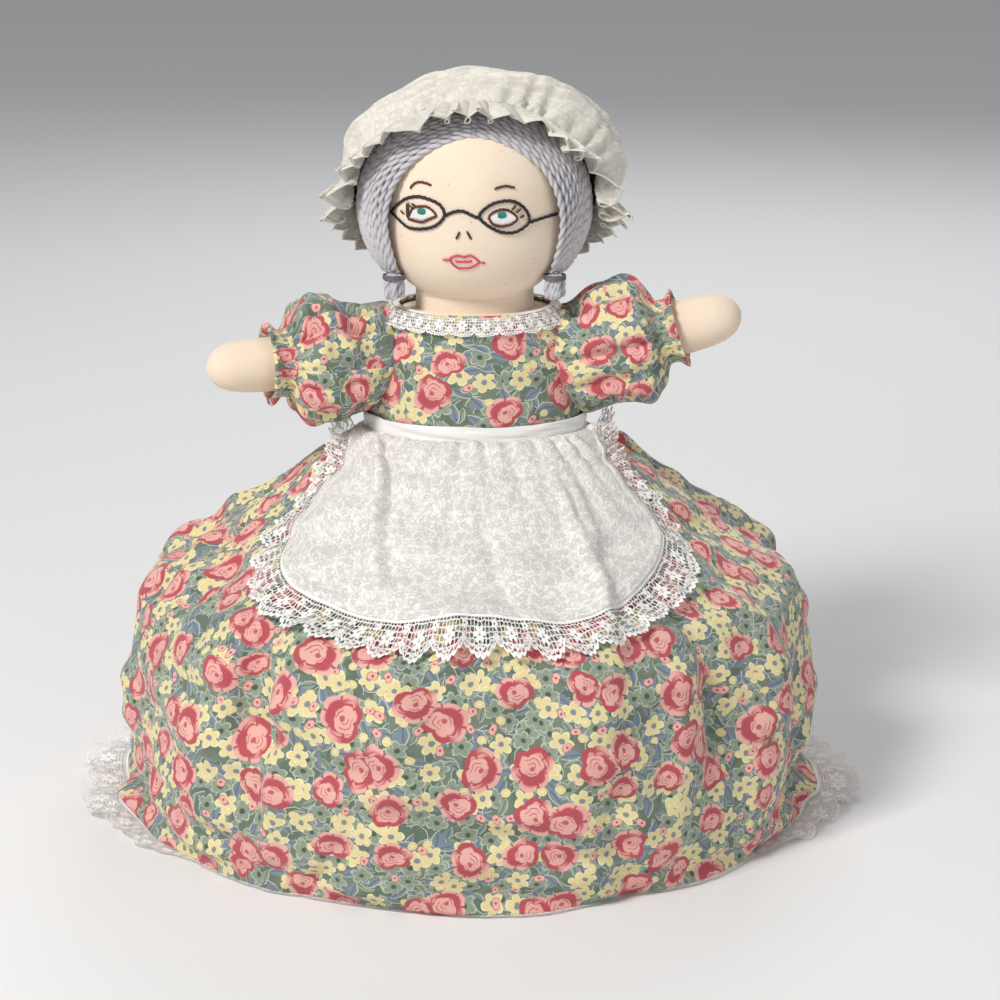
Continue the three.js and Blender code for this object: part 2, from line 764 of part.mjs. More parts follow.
// Pleats: each a bell across its line, which leans round the skirt as it falls
function pleatDepth(angle, fall) {
  return skirtPleats.reduce((depth, [top, lean, half, low, high, deep]) => {
    const line = radians(top + lean * (fall - low));
    const away = Math.atan2(Math.sin(angle - line), Math.cos(angle - line)) / radians(half);
    const start = THREE.MathUtils.smoothstep(fall, low, low + pleatTopEase);
    const end = 1 - THREE.MathUtils.smoothstep(fall, high - pleatFootEase, high);
    return depth + deep * bell(away) * start * end;
  }, 0);
}

// Where the hem comes out, the skirt is drawn in above it
function hemSpread(angle, fall) {
  const flare = hemFlare * THREE.MathUtils.smoothstep(fall, hemPinchFall, 1);
  const pinch = hemPinch * bell((fall - hemPinchFall) / hemPinchHeight);
  return hemOut(angle) * (flare - pinch);
}

// A point of the skirt: angle from +X, fall from 0 at the waist to 1 at the floor; plain without its pleats
function skirtPoint(angle, fall, plain = false) {
  const place = fallCurve.getPoint(fall);
  const cos = Math.cos(angle);
  const sin = Math.sin(angle);
  const [waistX, waistY] = torsoAt(0, 4 * seamGap + bodiceCloth + skirtCloth);
  const side = cos > 0 ? skirtRight : skirtLeft;
  const deep = sin > 0 ? skirtBack : skirtFront;
  const even = Math.min(skirtRight, skirtLeft);
  const sideReach = even + (side - even) * fall;
  const deepEven = Math.min(skirtFront, skirtBack);
  const deepReach = deepEven + (deep - deepEven) * fall;
  const calm = 1 - skirtFrontCalm * Math.max(0, -sin) * (1 - fall);
  const swing = Math.sin(Math.PI * fall) * calm;
  const many = skirtFoldShare * Math.cos(angle * skirtFolds + skirtFoldTurn);
  const few = (1 - skirtFoldShare) * Math.cos(angle * skirtFewerFolds + skirtFewerTurn);
  const deeper = 1 + skirtBackFullness * Math.max(0, sin);
  const pleats = plain ? 0 : pleatDepth(angle, fall) + hemSpread(angle, fall);
  const fold = skirtFoldDepth * deeper * swing * (many + few) + pleats;
  return new THREE.Vector3(
    (waistX + (sideReach - waistX) * place.x + fold) * cos,
    (waistY + (deepReach - waistY) * place.y + fold) * sin,
    (waistHeight + skirtWaistRise) * place.z);
}

function skirtNormal(angle, fall, plain) {
  const step = 0.004;
  const at = (turn, drop) => skirtPoint(angle + turn, fall + drop, plain);
  const along = at(0, step).sub(at(0, -step));
  const round = at(step, 0).sub(at(-step, 0));
  return round.cross(along).normalize().negate();
}

function onSkirt(angle, fall, proud, plain = false) {
  return skirtPoint(angle, fall, plain).addScaledVector(skirtNormal(angle, fall, plain), proud);
}

function skirtRing(fall, around, inset) {
  return Array.from({ length: around }, (_, j) => (
    onSkirt((j / around) * 2 * Math.PI, fall, -inset)));
}

function flatRing(around, inset, height) {
  return Array.from({ length: around }, (_, j) => {
    const angle = (j / around) * 2 * Math.PI;
    const edge = skirtPoint(angle, 1);
    const reach = Math.hypot(edge.x, edge.y);
    const pull = (reach - inset) / reach;
    return new THREE.Vector3(edge.x * pull, edge.y * pull, height);
  });
}

function makeSkirt() {
  const around = skirtAround;
  const outer = skirtRows.map((fall) => skirtRing(fall, around, 0));
  const inner = skirtRows.map((fall) => skirtRing(fall, around, skirtCloth));
  return wrapRings([
    ...outer, flatRing(around, 0, 0), flatRing(around, hemTurnIn, 0),
    flatRing(around, hemTurnIn, skirtCloth), flatRing(around, 2 * skirtCloth, skirtCloth),
    ...inner.reverse()], true);
}

function makeLining() {
  const around = liningAround;
  const ring = (fall, inset) => Array.from({ length: around }, (_, j) => {
    const angle = (j / around) * 2 * Math.PI;
    const deeper = 1 + skirtBackFullness * Math.max(0, Math.sin(angle));
    const pleated = liningPleatClear * Math.max(0, -Math.sin(angle)) * Math.min(fall, 1 - fall) * 2;
    const folded = skirtFoldDepth * deeper * liningClear * Math.min(fall / liningClearFall, 1);
    return onSkirt(angle, fall, -(skirtCloth + 2 * drapeGap + folded + pleated + inset), true);
  });
  const outer = liningRows.map((fall) => ring(fall, 0));
  const inner = liningRows.map((fall) => ring(fall, liningCloth));
  const top = waistHeight - liningWaistDrop;
  const collar = (proud, height) => ellipseRing(...torsoAt(0, proud), height, around);
  const past = bodiceCloth + 4 * seamGap;
  const low = hemTurnIn + seamGap;
  return wrapRings([
    collar(2 * seamGap, top - liningCloth), collar(2 * seamGap, top), collar(past + liningCloth, top),
    ...outer, flatRing(around, low, skirtCloth + drapeGap + liningCloth),
    flatRing(around, low + liningCloth, skirtCloth + drapeGap),
    ...inner.reverse(), collar(past, top - liningCloth)], true);
}

function makeHemLace() {
  const around = hemLaceFolds * 2;
  const ring = (share, lift) => Array.from({ length: around }, (_, j) => {
    const angle = (j / around) * 2 * Math.PI;
    const edge = skirtPoint(angle, 1);
    const reach = Math.hypot(edge.x, edge.y);
    const start = seamGap * 3;
    const width = hemTuckedWidth + (hemLaceWidth - hemTuckedWidth) * hemOut(angle);
    const pull = (reach + start + share * width) / reach;
    const wave = (j % 2) * hemLaceWave * share;
    return new THREE.Vector3(edge.x * pull, edge.y * pull, lift + wave);
  });
  return wrapRings([
    ring(0, 0), ring(1, 0), ring(1, laceThickness), ring(0, laceThickness)], true);
}

// Apron: a panel on the skirt's front, gathered at the band, with rounded lower corners
function apronFall(u, v) {
  const across = (u - 0.5) * 2;
  const corner = 1 - apronCornerRise * Math.abs(across) ** apronCornerPower;
  return apronTop + (apronDrop * corner - apronTop) * v;
}

function apronPlace(u, v, proud) {
  const across = (u - 0.5) * 2;
  const narrow = Math.sin(Math.min(v * apronFlare, 1) * (Math.PI / 2));
  const spread = apronTopSpread + (apronLowSpread - apronTopSpread) * narrow;
  return onSkirt(-Math.PI / 2 + radians(spread) * across, apronFall(u, v), proud);
}

function makeApronPanel() {
  return sheetBetween(
    (u, v) => apronPlace(u, v, apronLift + apronCloth),
    (u, v) => apronPlace(u, v, apronLift), apronAround, apronRows);
}

// The lace runs down both sides and round the bottom of the panel, so far out from its edge
function apronEdge(share, out, proud) {
  const low = share > apronLaceSides && share < 1 - apronLaceSides;
  const along = Math.min(share, 1 - share) / apronLaceSides;
  const side = share < 0.5 ? 0 : 1;
  const u = low ? (share - apronLaceSides) / (1 - 2 * apronLaceSides) : side;
  const v = low ? 1 : apronLaceStart + (1 - apronLaceStart) * along;
  const edge = apronPlace(u, v, proud);
  const turn = (share - apronLaceSides / 2) / (1 - apronLaceSides);
  const heading = Math.PI * (1 - Math.min(Math.max(turn, 0), 1));
  const sideways = (Math.cos(heading) * out) / Math.hypot(edge.x, edge.y);
  const downwards = (Math.sin(heading) * out) / skirtSlope;
  return onSkirt(Math.atan2(edge.y, edge.x) + sideways, apronFall(u, v) + downwards, proud);
}

function makeApronLace() {
  const place = (u, v, proud) => apronEdge(u, apronLaceSet + v * apronLaceWidth, apronLift + proud);
  return sheetBetween((u, v) => place(u, v, laceThickness), (u, v) => place(u, v, 0), 2 * apronAround, 2);
}

function makeWaistband() {
  const proud = 2 * seamGap + bodiceCloth;
  const ring = (height, out) => ellipseRing(...torsoAt(height, proud + out), height, upperAround);
  const top = bandRise + bandWidth;
  return wrapRings([
    ring(bandRise, 0), ring(top, 0), ring(top, bandThickness), ring(bandRise, bandThickness)], true);
}

// The bow lies at the middle of the back, on the band
function bowPlace() {
  const backDepth = torsoAt(bandRise, 3 * seamGap + bodiceCloth + bandThickness)[1];
  return new THREE.Vector3(0, backDepth, waistHeight + bandRise + bandWidth / 2);
}

function makeKnot() {
  const place = bowPlace();
  place.y += bowKnot / 2;
  return ellipsoid(bowKnot / 2, bowKnot / 2, bowKnot / 2, place, knotAround, knotRows);
}

function makeBowLoop(side) {
  const shape = new THREE.Shape();
  const start = bowKnot / 2 + seamGap;
  const end = start + bowLoopLength;
  const neck = ribbonWidth / bowNeck;
  shape.moveTo(start, -neck);
  for (const [bendX, bendY, toX, toY] of bowLoopCurves) {
    shape.quadraticCurveTo(end * bendX, bowLoopWidth * bendY, end * toX, bowLoopWidth * toY);
  }
  shape.quadraticCurveTo(end * bowLoopReturn[0], bowLoopWidth * bowLoopReturn[1], start, neck);
  const loop = new THREE.ExtrudeGeometry(shape, {
    depth: ribbonThickness * 2, bevelEnabled: false, curveSegments: 4 });
  loop.rotateX(Math.PI / 2);
  if (side < 0) loop.rotateZ(Math.PI).translate(0, -ribbonThickness * 2, 0);
  const place = bowPlace();
  loop.translate(0, place.y + ribbonThickness * 2, place.z);
  return loop;
}

// A tail falls from the knot to the skirt and lies on it
function makeBowTail(side) {
  const place = bowPlace();
  const top = new THREE.Vector3(
    (side * ribbonWidth) / 2 + side * seamGap, place.y + seamGap, place.z - bowKnot / 2 - seamGap);
  const along = (u, v, out) => {
    const angle = Math.PI / 2 - side * (bowTailAngle + bowTailSpread * v);
    const fall = bowTailFall + (bowTailLength * v) / waistHeight;
    const settle = THREE.MathUtils.smoothstep(v, 0, bowTailSettle);
    const lying = onSkirt(angle, fall, bowTailLift + out);
    const hanging = top.clone().add(new THREE.Vector3(0, out, 0));
    const width = (u - 0.5) * ribbonWidth;
    return hanging.lerp(lying, settle).add(new THREE.Vector3(width, 0, 0));
  };
  return sheetBetween(
    (u, v) => along(u, v, ribbonThickness), (u, v) => along(u, v, 0), 2, tailRows);
}

function halfDoll(name, options) {
  const half = new THREE.Group();
  half.add(
    piece(`${name}_torso`, makeTorso(options.around), cloths.stuffing),
    piece(`${name}_bodice`, makeBodice(options.around), options.cloth),
    piece(`${name}_neck_lace`, makeNeckTrim(options.around), cloths.lace),
    piece(`${name}_head`, makeHead(), cloths.muslin),
    piece(`${name}_hair`, makeHair(), options.yarn),
    armGroup(name, -1, options.raiseLeft, options.yawLeft, options),
    armGroup(name, 1, options.raiseRight, options.yawRight, options));
  return half;
}

const doll = new THREE.Group();
doll.position.set(dollOffset, depthOffset, 0);

const upper = halfDoll('upper', {
  around: upperAround, sleeveAround, puffRadius: upperPuffRadius, cloth: cloths.print, yarn: cloths.yarn,
  raiseLeft: upperArmRaiseLeft, raiseRight: upperArmRaiseRight,
  yawLeft: upperArmYawLeft, yawRight: upperArmYawRight, flipped: false,
});
upper.position.z = waistHeight;
for (const [side, label] of [[-1, 'left'], [1, 'right']]) {
  upper.add(
    piece(`upper_hair_bunch_${label}`, makeBunch(side), cloths.yarn),
    piece(`upper_hair_tie_${label}`, makeTie(side), cloths.thread));
}
const cap = capFrame();
cap.add(
  piece('mob_cap_crown', makeCrown(), cloths.capCotton),
  piece('mob_cap_ruffle', makeRuffle(), cloths.capCotton));
upper.add(cap);
upper.add(
  piece('apron_waistband', makeWaistband(), cloths.satin));
doll.add(upper);

const lower = halfDoll('lower', {
  around: lowerAround, sleeveAround: lowerSleeveAround, puffRadius: lowerPuffRadius,
  cloth: cloths.lining, yarn: cloths.brownYarn,
  raiseLeft: lowerArmRaise, raiseRight: lowerArmRaise,
  yawLeft: lowerArmYaw, yawRight: lowerArmYaw, flipped: true,
});
lower.position.z = waistHeight;
lower.rotation.y = Math.PI;
doll.add(lower);

doll.add(
  piece('upper_skirt', makeSkirt(), cloths.print),
  piece('lower_skirt', makeLining(), cloths.lining),
  piece('hem_lace', makeHemLace(), cloths.lace),
  piece('apron_panel', makeApronPanel(), cloths.apronCotton),
  piece('apron_lace', makeApronLace(), cloths.lace),
  piece('apron_bow_knot', makeKnot(), cloths.satin));
for (const [side, label] of [[-1, 'left'], [1, 'right']]) {
  doll.add(
    piece(`apron_bow_loop_${label}`, makeBowLoop(side), cloths.satin),
    piece(`apron_bow_tail_${label}`, makeBowTail(side), cloths.satin));
}

export default doll;
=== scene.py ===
# Topsy-turvy doll: an old woman's half above the skirt, a girl's half below it
import math
import bmesh
import bpy
import numpy as np
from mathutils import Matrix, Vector


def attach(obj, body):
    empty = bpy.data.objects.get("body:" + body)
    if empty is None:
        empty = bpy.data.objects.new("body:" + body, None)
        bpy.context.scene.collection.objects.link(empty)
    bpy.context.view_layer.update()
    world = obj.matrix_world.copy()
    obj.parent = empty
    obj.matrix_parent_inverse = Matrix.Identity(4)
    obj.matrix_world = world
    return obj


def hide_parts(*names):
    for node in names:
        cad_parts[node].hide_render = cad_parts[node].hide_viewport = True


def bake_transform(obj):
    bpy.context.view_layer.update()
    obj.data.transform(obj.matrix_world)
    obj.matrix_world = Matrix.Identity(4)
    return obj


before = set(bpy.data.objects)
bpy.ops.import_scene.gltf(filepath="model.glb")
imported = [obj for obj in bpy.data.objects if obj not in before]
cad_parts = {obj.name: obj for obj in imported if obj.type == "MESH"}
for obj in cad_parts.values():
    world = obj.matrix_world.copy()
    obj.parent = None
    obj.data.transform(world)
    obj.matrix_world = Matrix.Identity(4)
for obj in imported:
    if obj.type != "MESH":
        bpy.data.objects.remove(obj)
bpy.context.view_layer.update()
print("stage: frame loaded")

mm = 0.001
tau = 2 * math.pi
doll = {"axisX": 4.0, "axisY": -6.5, "waist": 180.0}

# camera and light
view = {"target": (15.8, -6.5, 145.0), "distance": 1200.0, "rise": 17.0, "lens": 90.0}
camera = bpy.data.objects.new("camera", bpy.data.cameras.new("camera"))
bpy.context.scene.collection.objects.link(camera)
rise = math.radians(view["rise"])
back = Vector((0, -math.cos(rise), math.sin(rise)))
camera.location = (Vector(view["target"]) + back * view["distance"]) * mm
camera.rotation_mode = "QUATERNION"
camera.rotation_quaternion = (-back).to_track_quat("-Z", "Y")
camera.data.lens = view["lens"]
camera.data.sensor_width = 36
camera.data.clip_end = 50
bpy.context.scene.camera = camera


def softBox(name, place, aim, size, power, colour=(1, 1, 1)):
    # A square area light at a place, aimed at another
    light = bpy.data.lights.new(name, "AREA")
    light.size = size
    light.energy = power
    light.color = colour
    lamp = bpy.data.objects.new(name, light)
    lamp.location = place
    lamp.rotation_mode = "QUATERNION"
    lamp.rotation_quaternion = (Vector(aim) - Vector(place)).to_track_quat("-Z", "Y")
    bpy.context.scene.collection.objects.link(lamp)


softBox("keyLight", (-1.0, -1.15, 1.6), (0, 0, 0.15), 0.55, 34, (1, 0.985, 0.96))
softBox("fillLight", (1.4, -1.3, 0.7), (0, 0, 0.15), 1.2, 5.5, (0.97, 0.985, 1))
softBox("rimLight", (0.3, 1.4, 1.3), (0, 0, 0.2), 1.0, 9)
world = bpy.data.worlds.new("studio")
world.use_nodes = True
world.node_tree.nodes["Background"].inputs[0].default_value = (0.9, 0.92, 0.95, 1)
world.node_tree.nodes["Background"].inputs[1].default_value = 0.32
bpy.context.scene.world = world
bpy.context.scene.view_settings.view_transform = "Standard"


# node helpers
def put(tree, kind, values=(), **settings):
    # One node; values gives its inputs by name or number, each a number or a socket to link
    made = tree.nodes.new(kind)
    for key, value in settings.items():
        setattr(made, key, value)
    for key, value in dict(values).items():
        if isinstance(value, bpy.types.NodeSocket):
            tree.links.new(value, made.inputs[key])
        else:
            made.inputs[key].default_value = value
    return made


def calc(tree, operation, a, b=0.0, c=0.0):
    # A maths node
    return put(tree, "ShaderNodeMath", {0: a, 1: b, 2: c}, operation=operation).outputs[0]


def times(tree, a, b):
    return calc(tree, "MULTIPLY", a, b)


def less(tree, a, b):
    return calc(tree, "SUBTRACT", a, b)


def magnitude(tree, a):
    return calc(tree, "ABSOLUTE", a)


def vec(tree, operation, a, b):
    # For SCALE, b is a number and goes to the node's fourth input
    values = {0: a, 3 if operation == "SCALE" else 1: b}
    return put(tree, "ShaderNodeVectorMath", values, operation=operation).outputs[0]


def soft(tree, value, low, high):
    # 0 below low, 1 above high, smooth between; low may be the larger
    return put(tree, "ShaderNodeMapRange", {0: value, 1: low, 2: high, 3: 0.0, 4: 1.0},
               interpolation_type="SMOOTHSTEP").outputs[0]


def mixColour(tree, share, a, b, blend="MIX"):
    return put(tree, "ShaderNodeMix", {0: share, 6: a, 7: b}, data_type="RGBA",
               blend_type=blend).outputs[2]


def noise(tree, vector, scale, detail=2.0, rough=0.5):
    return put(tree, "ShaderNodeTexNoise", {"Vector": vector, "Scale": scale, "Detail": detail,
                                            "Roughness": rough}).outputs[0]


def makeGroup(name, inputs, outputs, build):
    # A shader node group; inputs are (name, kind, default), outputs (name, kind), build fills the tree
    group = bpy.data.node_groups.new(name, "ShaderNodeTree")
    kinds = {"number": "NodeSocketFloat", "vector": "NodeSocketVector", "colour": "NodeSocketColor"}
    for label, kind, default in inputs:
        socket = group.interface.new_socket(label, in_out="INPUT", socket_type=kinds[kind])
        if default is not None:
            socket.default_value = default
    for label, kind in outputs:
        group.interface.new_socket(label, in_out="OUTPUT", socket_type=kinds[kind])
    start = group.nodes.new("NodeGroupInput")
    end = group.nodes.new("NodeGroupOutput")
    given = {label: start.outputs[label] for label, _, _ in inputs}
    for label, socket in build(group, given).items():
        group.links.new(socket, end.inputs[label])
    return group


def useGroup(tree, group, values):
    return put(tree, "ShaderNodeGroup", values, node_tree=group).outputs


def rgb(r, g, b):
    # A screen colour, 0 to 255, as the linear colour that shaders use
    return tuple(((c / 255 + 0.055) / 1.055) ** 2.4 if c > 10 else c / 255 / 12.92
                 for c in (r, g, b)) + (1.0,)


# printed shapes, each on its own scattered cells of the cloth
def cellPlace(tree, vector, scale, shift, spread):
    # The nearest cell's centre: place from it, turned by the cell's own chance, with that chance's colour
    moved = vec(tree, "ADD", vec(tree, "SCALE", vector, scale), shift)
    cell = put(tree, "ShaderNodeTexVoronoi", {"Vector": moved, "Scale": 1.0, "Randomness": spread},
               voronoi_dimensions="2D", feature="F1")
    away = vec(tree, "SUBTRACT", moved, cell.outputs["Position"])
    chance = put(tree, "ShaderNodeSeparateColor", {0: cell.outputs["Color"]}).outputs
    parts = put(tree, "ShaderNodeSeparateXYZ", {0: away}).outputs
    turn = calc(tree, "ADD", calc(tree, "ARCTAN2", parts[1], parts[0]), times(tree, chance[0], tau))
    return calc(tree, "SQRT", calc(tree, "ADD", times(tree, parts[0], parts[0]),
                                   times(tree, parts[1], parts[1]))), turn, chance


def buildRose(tree, given):
    # A full rose: a scalloped ring of dark petals, pale at their lips on one side, round a pale ball with
    # dark arcs
    reach, turn, chance = cellPlace(tree, given["Place"], given["Scale"], given["Shift"], 0.72)
    grown = times(tree, given["Size"], calc(tree, "MULTIPLY_ADD", chance[1], 0.36, 0.84))
    gap = magnitude(tree, calc(tree, "SINE", times(tree, turn, 3.0)))
    oval = times(tree, calc(tree, "COSINE",
                            calc(tree, "MULTIPLY_ADD", turn, 2.0, times(tree, chance[2], tau))), 0.1)
    uneven = calc(tree, "MULTIPLY_ADD", calc(tree, "COSINE", times(tree, turn, 3.0)), 0.06, oval)
    lobes = calc(tree, "ADD", calc(tree, "MULTIPLY_ADD", calc(tree, "SQRT", gap), 0.16, 0.84), uneven)
    out = calc(tree, "DIVIDE", calc(tree, "DIVIDE", reach, grown), lobes)
    side = calc(tree, "COSINE", turn)
    lip = times(tree, soft(tree, out, 0.7, 0.84), soft(tree, side, -0.6, 0.0))
    inner = calc(tree, "MULTIPLY_ADD",
                 magnitude(tree, calc(tree, "SINE", calc(tree, "MULTIPLY_ADD", turn, 3.0, 0.9))), 0.09, out)
    crescent = soft(tree, magnitude(tree, less(tree, inner, 0.74)), 0.075, 0.035)
    crescent = times(tree, crescent, soft(tree, side, 0.5, -0.2))
    ring = times(tree, calc(tree, "MAXIMUM", lip, times(tree, crescent, 0.8)), soft(tree, gap, 0.1, 0.3))
    ballOut = calc(tree, "MULTIPLY_ADD", side, 0.2, out)
    ball = soft(tree, ballOut, 0.56, 0.5)
    spiral = calc(tree, "FRACT", calc(tree, "MULTIPLY_ADD", ballOut, 4.6, times(tree, turn, 1 / tau)))
    arcs = times(tree, soft(tree, spiral, 0.26, 0.16),
                 soft(tree, calc(tree, "SINE", calc(tree, "MULTIPLY_ADD", turn, 2.0, 0.6)), -0.35, 0.15))
    arcs = calc(tree, "MAXIMUM", arcs, soft(tree, out, 0.16, 0.1))
    shade = calc(tree, "ADD", times(tree, ball, less(tree, 1.0, times(tree, arcs, 0.9))),
                 times(tree, less(tree, 1.0, ball), ring))
    return {"Mask": soft(tree, out, 1.02, 0.97), "Shade": shade, "Tone": chance[2]}


def buildBlossom(tree, given):
    # A small open flower: petals as a wavy circle, and an eye
    reach, turn, chance = cellPlace(tree, given["Place"], given["Scale"], given["Shift"], 0.8)
    petal = magnitude(tree, calc(tree, "COSINE", times(tree, turn, times(tree, given["Petals"], 0.5))))
    out = calc(tree, "DIVIDE", reach,
               times(tree, given["Size"], calc(tree, "MULTIPLY_ADD", petal, 0.45, 0.58)))
    eye = soft(tree, calc(tree, "DIVIDE", reach, given["Size"]), 0.3, 0.2)
    some = soft(tree, chance[1], given["Sparse"], calc(tree, "ADD", given["Sparse"], 0.001))
    return {"Mask": times(tree, soft(tree, out, 1.05, 0.95), some), "Eye": eye,
            "Shade": soft(tree, out, 0.78, 0.95), "Tone": chance[2]}


def buildLeaf(tree, given):
    # A pointed leaf: half width falls as one less the square of the place along it; midrib, side veins,
    # one pale lip
    reach, turn, chance = cellPlace(tree, given["Place"], given["Scale"], given["Shift"], 0.85)
    along = calc(tree, "DIVIDE", times(tree, reach, calc(tree, "COSINE", turn)), given["Size"])
    across = calc(tree, "DIVIDE", times(tree, reach, calc(tree, "SINE", turn)), given["Size"])
    half = times(tree, less(tree, 1.0, times(tree, along, along)), 0.46)
    side = magnitude(tree, across)
    mask = soft(tree, less(tree, half, side), 0.0, 0.06)
    rib = soft(tree, side, 0.09, 0.04)
    veins = magnitude(tree, calc(tree, "SINE", times(tree, less(tree, along, side), 11.0)))
    lip = times(tree, soft(tree, less(tree, half, side), 0.13, 0.08), soft(tree, across, -0.1, 0.0))
    return {"Mask": mask, "Lip": lip,
            "Rib": calc(tree, "MAXIMUM", rib, times(tree, soft(tree, veins, 0.3, 0.1), 0.6)),
            "Tone": chance[2]}


shapeInputs = [("Place", "vector", None), ("Scale", "number", 30.0), ("Shift", "vector", None),
               ("Size", "number", 0.4)]
roseShape = makeGroup("rosePrint", shapeInputs, [
    ("Mask", "number"), ("Shade", "number"), ("Tone", "number")], buildRose)
blossomShape = makeGroup("blossomPrint", shapeInputs + [
    ("Petals", "number", 5.0), ("Sparse", "number", 0.0)], [
    ("Mask", "number"), ("Eye", "number"), ("Shade", "number"), ("Tone", "number")], buildBlossom)
leafShape = makeGroup("leafPrint", shapeInputs, [
    ("Mask", "number"), ("Lip", "number"), ("Rib", "number"), ("Tone", "number")], buildLeaf)


def buildWeave(tree, given):
    # Plain weave: warp and weft ribs crossing, uneven yarns, and slow soil and fade over the cloth
    scaled = vec(tree, "SCALE", given["Place"], given["Threads"])
    bent = vec(tree, "ADD", scaled,
               vec(tree, "SCALE", put(tree, "ShaderNodeTexNoise",
                                      {"Vector": scaled, "Scale": 0.11, "Detail": 1.0}).outputs[1], 1.6))
    parts = put(tree, "ShaderNodeSeparateXYZ", {0: bent}).outputs
    warp = magnitude(tree, calc(tree, "SINE", times(tree, parts[0], math.pi)))
    weft = magnitude(tree, calc(tree, "SINE", times(tree, parts[1], math.pi)))
    up = magnitude(tree, calc(tree, "SINE", times(tree, parts[2], math.pi)))
    rib = times(tree, times(tree, warp, weft), calc(tree, "MULTIPLY_ADD", up, 0.3, 0.7))
    slub = noise(tree, vec(tree, "MULTIPLY", given["Place"], (90, 900, 300)), 1.0, 2.0)
    height = calc(tree, "MULTIPLY_ADD", slub, 0.5, rib)
    fade = noise(tree, given["Place"], 22.0, 3.0, 0.6)
    tint = calc(tree, "ADD", calc(tree, "MULTIPLY_ADD", rib, 0.1, 0.88),
                times(tree, less(tree, fade, 0.5), given["Fade"]))
    return {"Height": height, "Tint": tint}


weaveGroup = makeGroup("plainWeave", [("Place", "vector", None), ("Threads", "number", 2400.0),
                                      ("Fade", "number", 0.12)], [
    ("Height", "number"), ("Tint", "number")], buildWeave)


def newMaterial(name):
    material = bpy.data.materials.new(name)
    material.use_nodes = True
    tree = material.node_tree
    return material, tree, tree.nodes["Principled BSDF"]


def tinted(tree, weave, share, colour):
    # The colour darkened by the weave's tint, by a share
    grey = put(tree, "ShaderNodeCombineColor", {k: weave["Tint"] for k in range(3)}).outputs[0]
    return mixColour(tree, share, colour, grey, "MULTIPLY")


def dress(tree, shader, colour, height, strength, distance, settings):
    # The shader's colour, a bump of the given height, and its other inputs by name
    tree.links.new(colour, shader.inputs["Base Color"])
    lift = put(tree, "ShaderNodeBump", {"Height": height, "Strength": strength, "Distance": distance})
    tree.links.new(lift.outputs[0], shader.inputs["Normal"])
    for key, value in settings.items():
        shader.inputs[key].default_value = value


def clothFinish(tree, shader, colour, where, threads, fade, bump, roughness=0.88, sheen=0.25):
    # The weave darkens and lifts the printed or plain colour
    weave = useGroup(tree, weaveGroup, {"Place": where, "Threads": threads, "Fade": fade})
    dress(tree, shader, tinted(tree, weave, 1.0, colour), weave["Height"], bump, 0.0003, {
        "Roughness": roughness, "Sheen Weight": sheen, "Sheen Roughness": 0.5, "Specular IOR Level": 0.25})


def uvPlace(tree):
    return put(tree, "ShaderNodeUVMap", uv_map="cloth").outputs[0]


def objectPlace(tree):
    return put(tree, "ShaderNodeTexCoord").outputs["Object"]


calico = {
    "ground": rgb(126, 138, 120), "groundDark": rgb(106, 119, 102), "roseDeep": rgb(192, 86, 96),
    "rosePale": rgb(244, 188, 176), "budPale": rgb(236, 166, 158), "yellow": rgb(238, 222, 164),
    "yellowLip": rgb(250, 240, 200), "yellowEye": rgb(138, 146, 158), "sage": rgb(148, 160, 142),
    "sageLip": rgb(206, 212, 188), "sageEye": rgb(84, 98, 82), "leafBlue": rgb(134, 147, 164),
    "leafGreen": rgb(102, 124, 104), "leafPale": rgb(152, 166, 146), "rib": rgb(108, 122, 124),
    "lip": rgb(212, 216, 190),
}


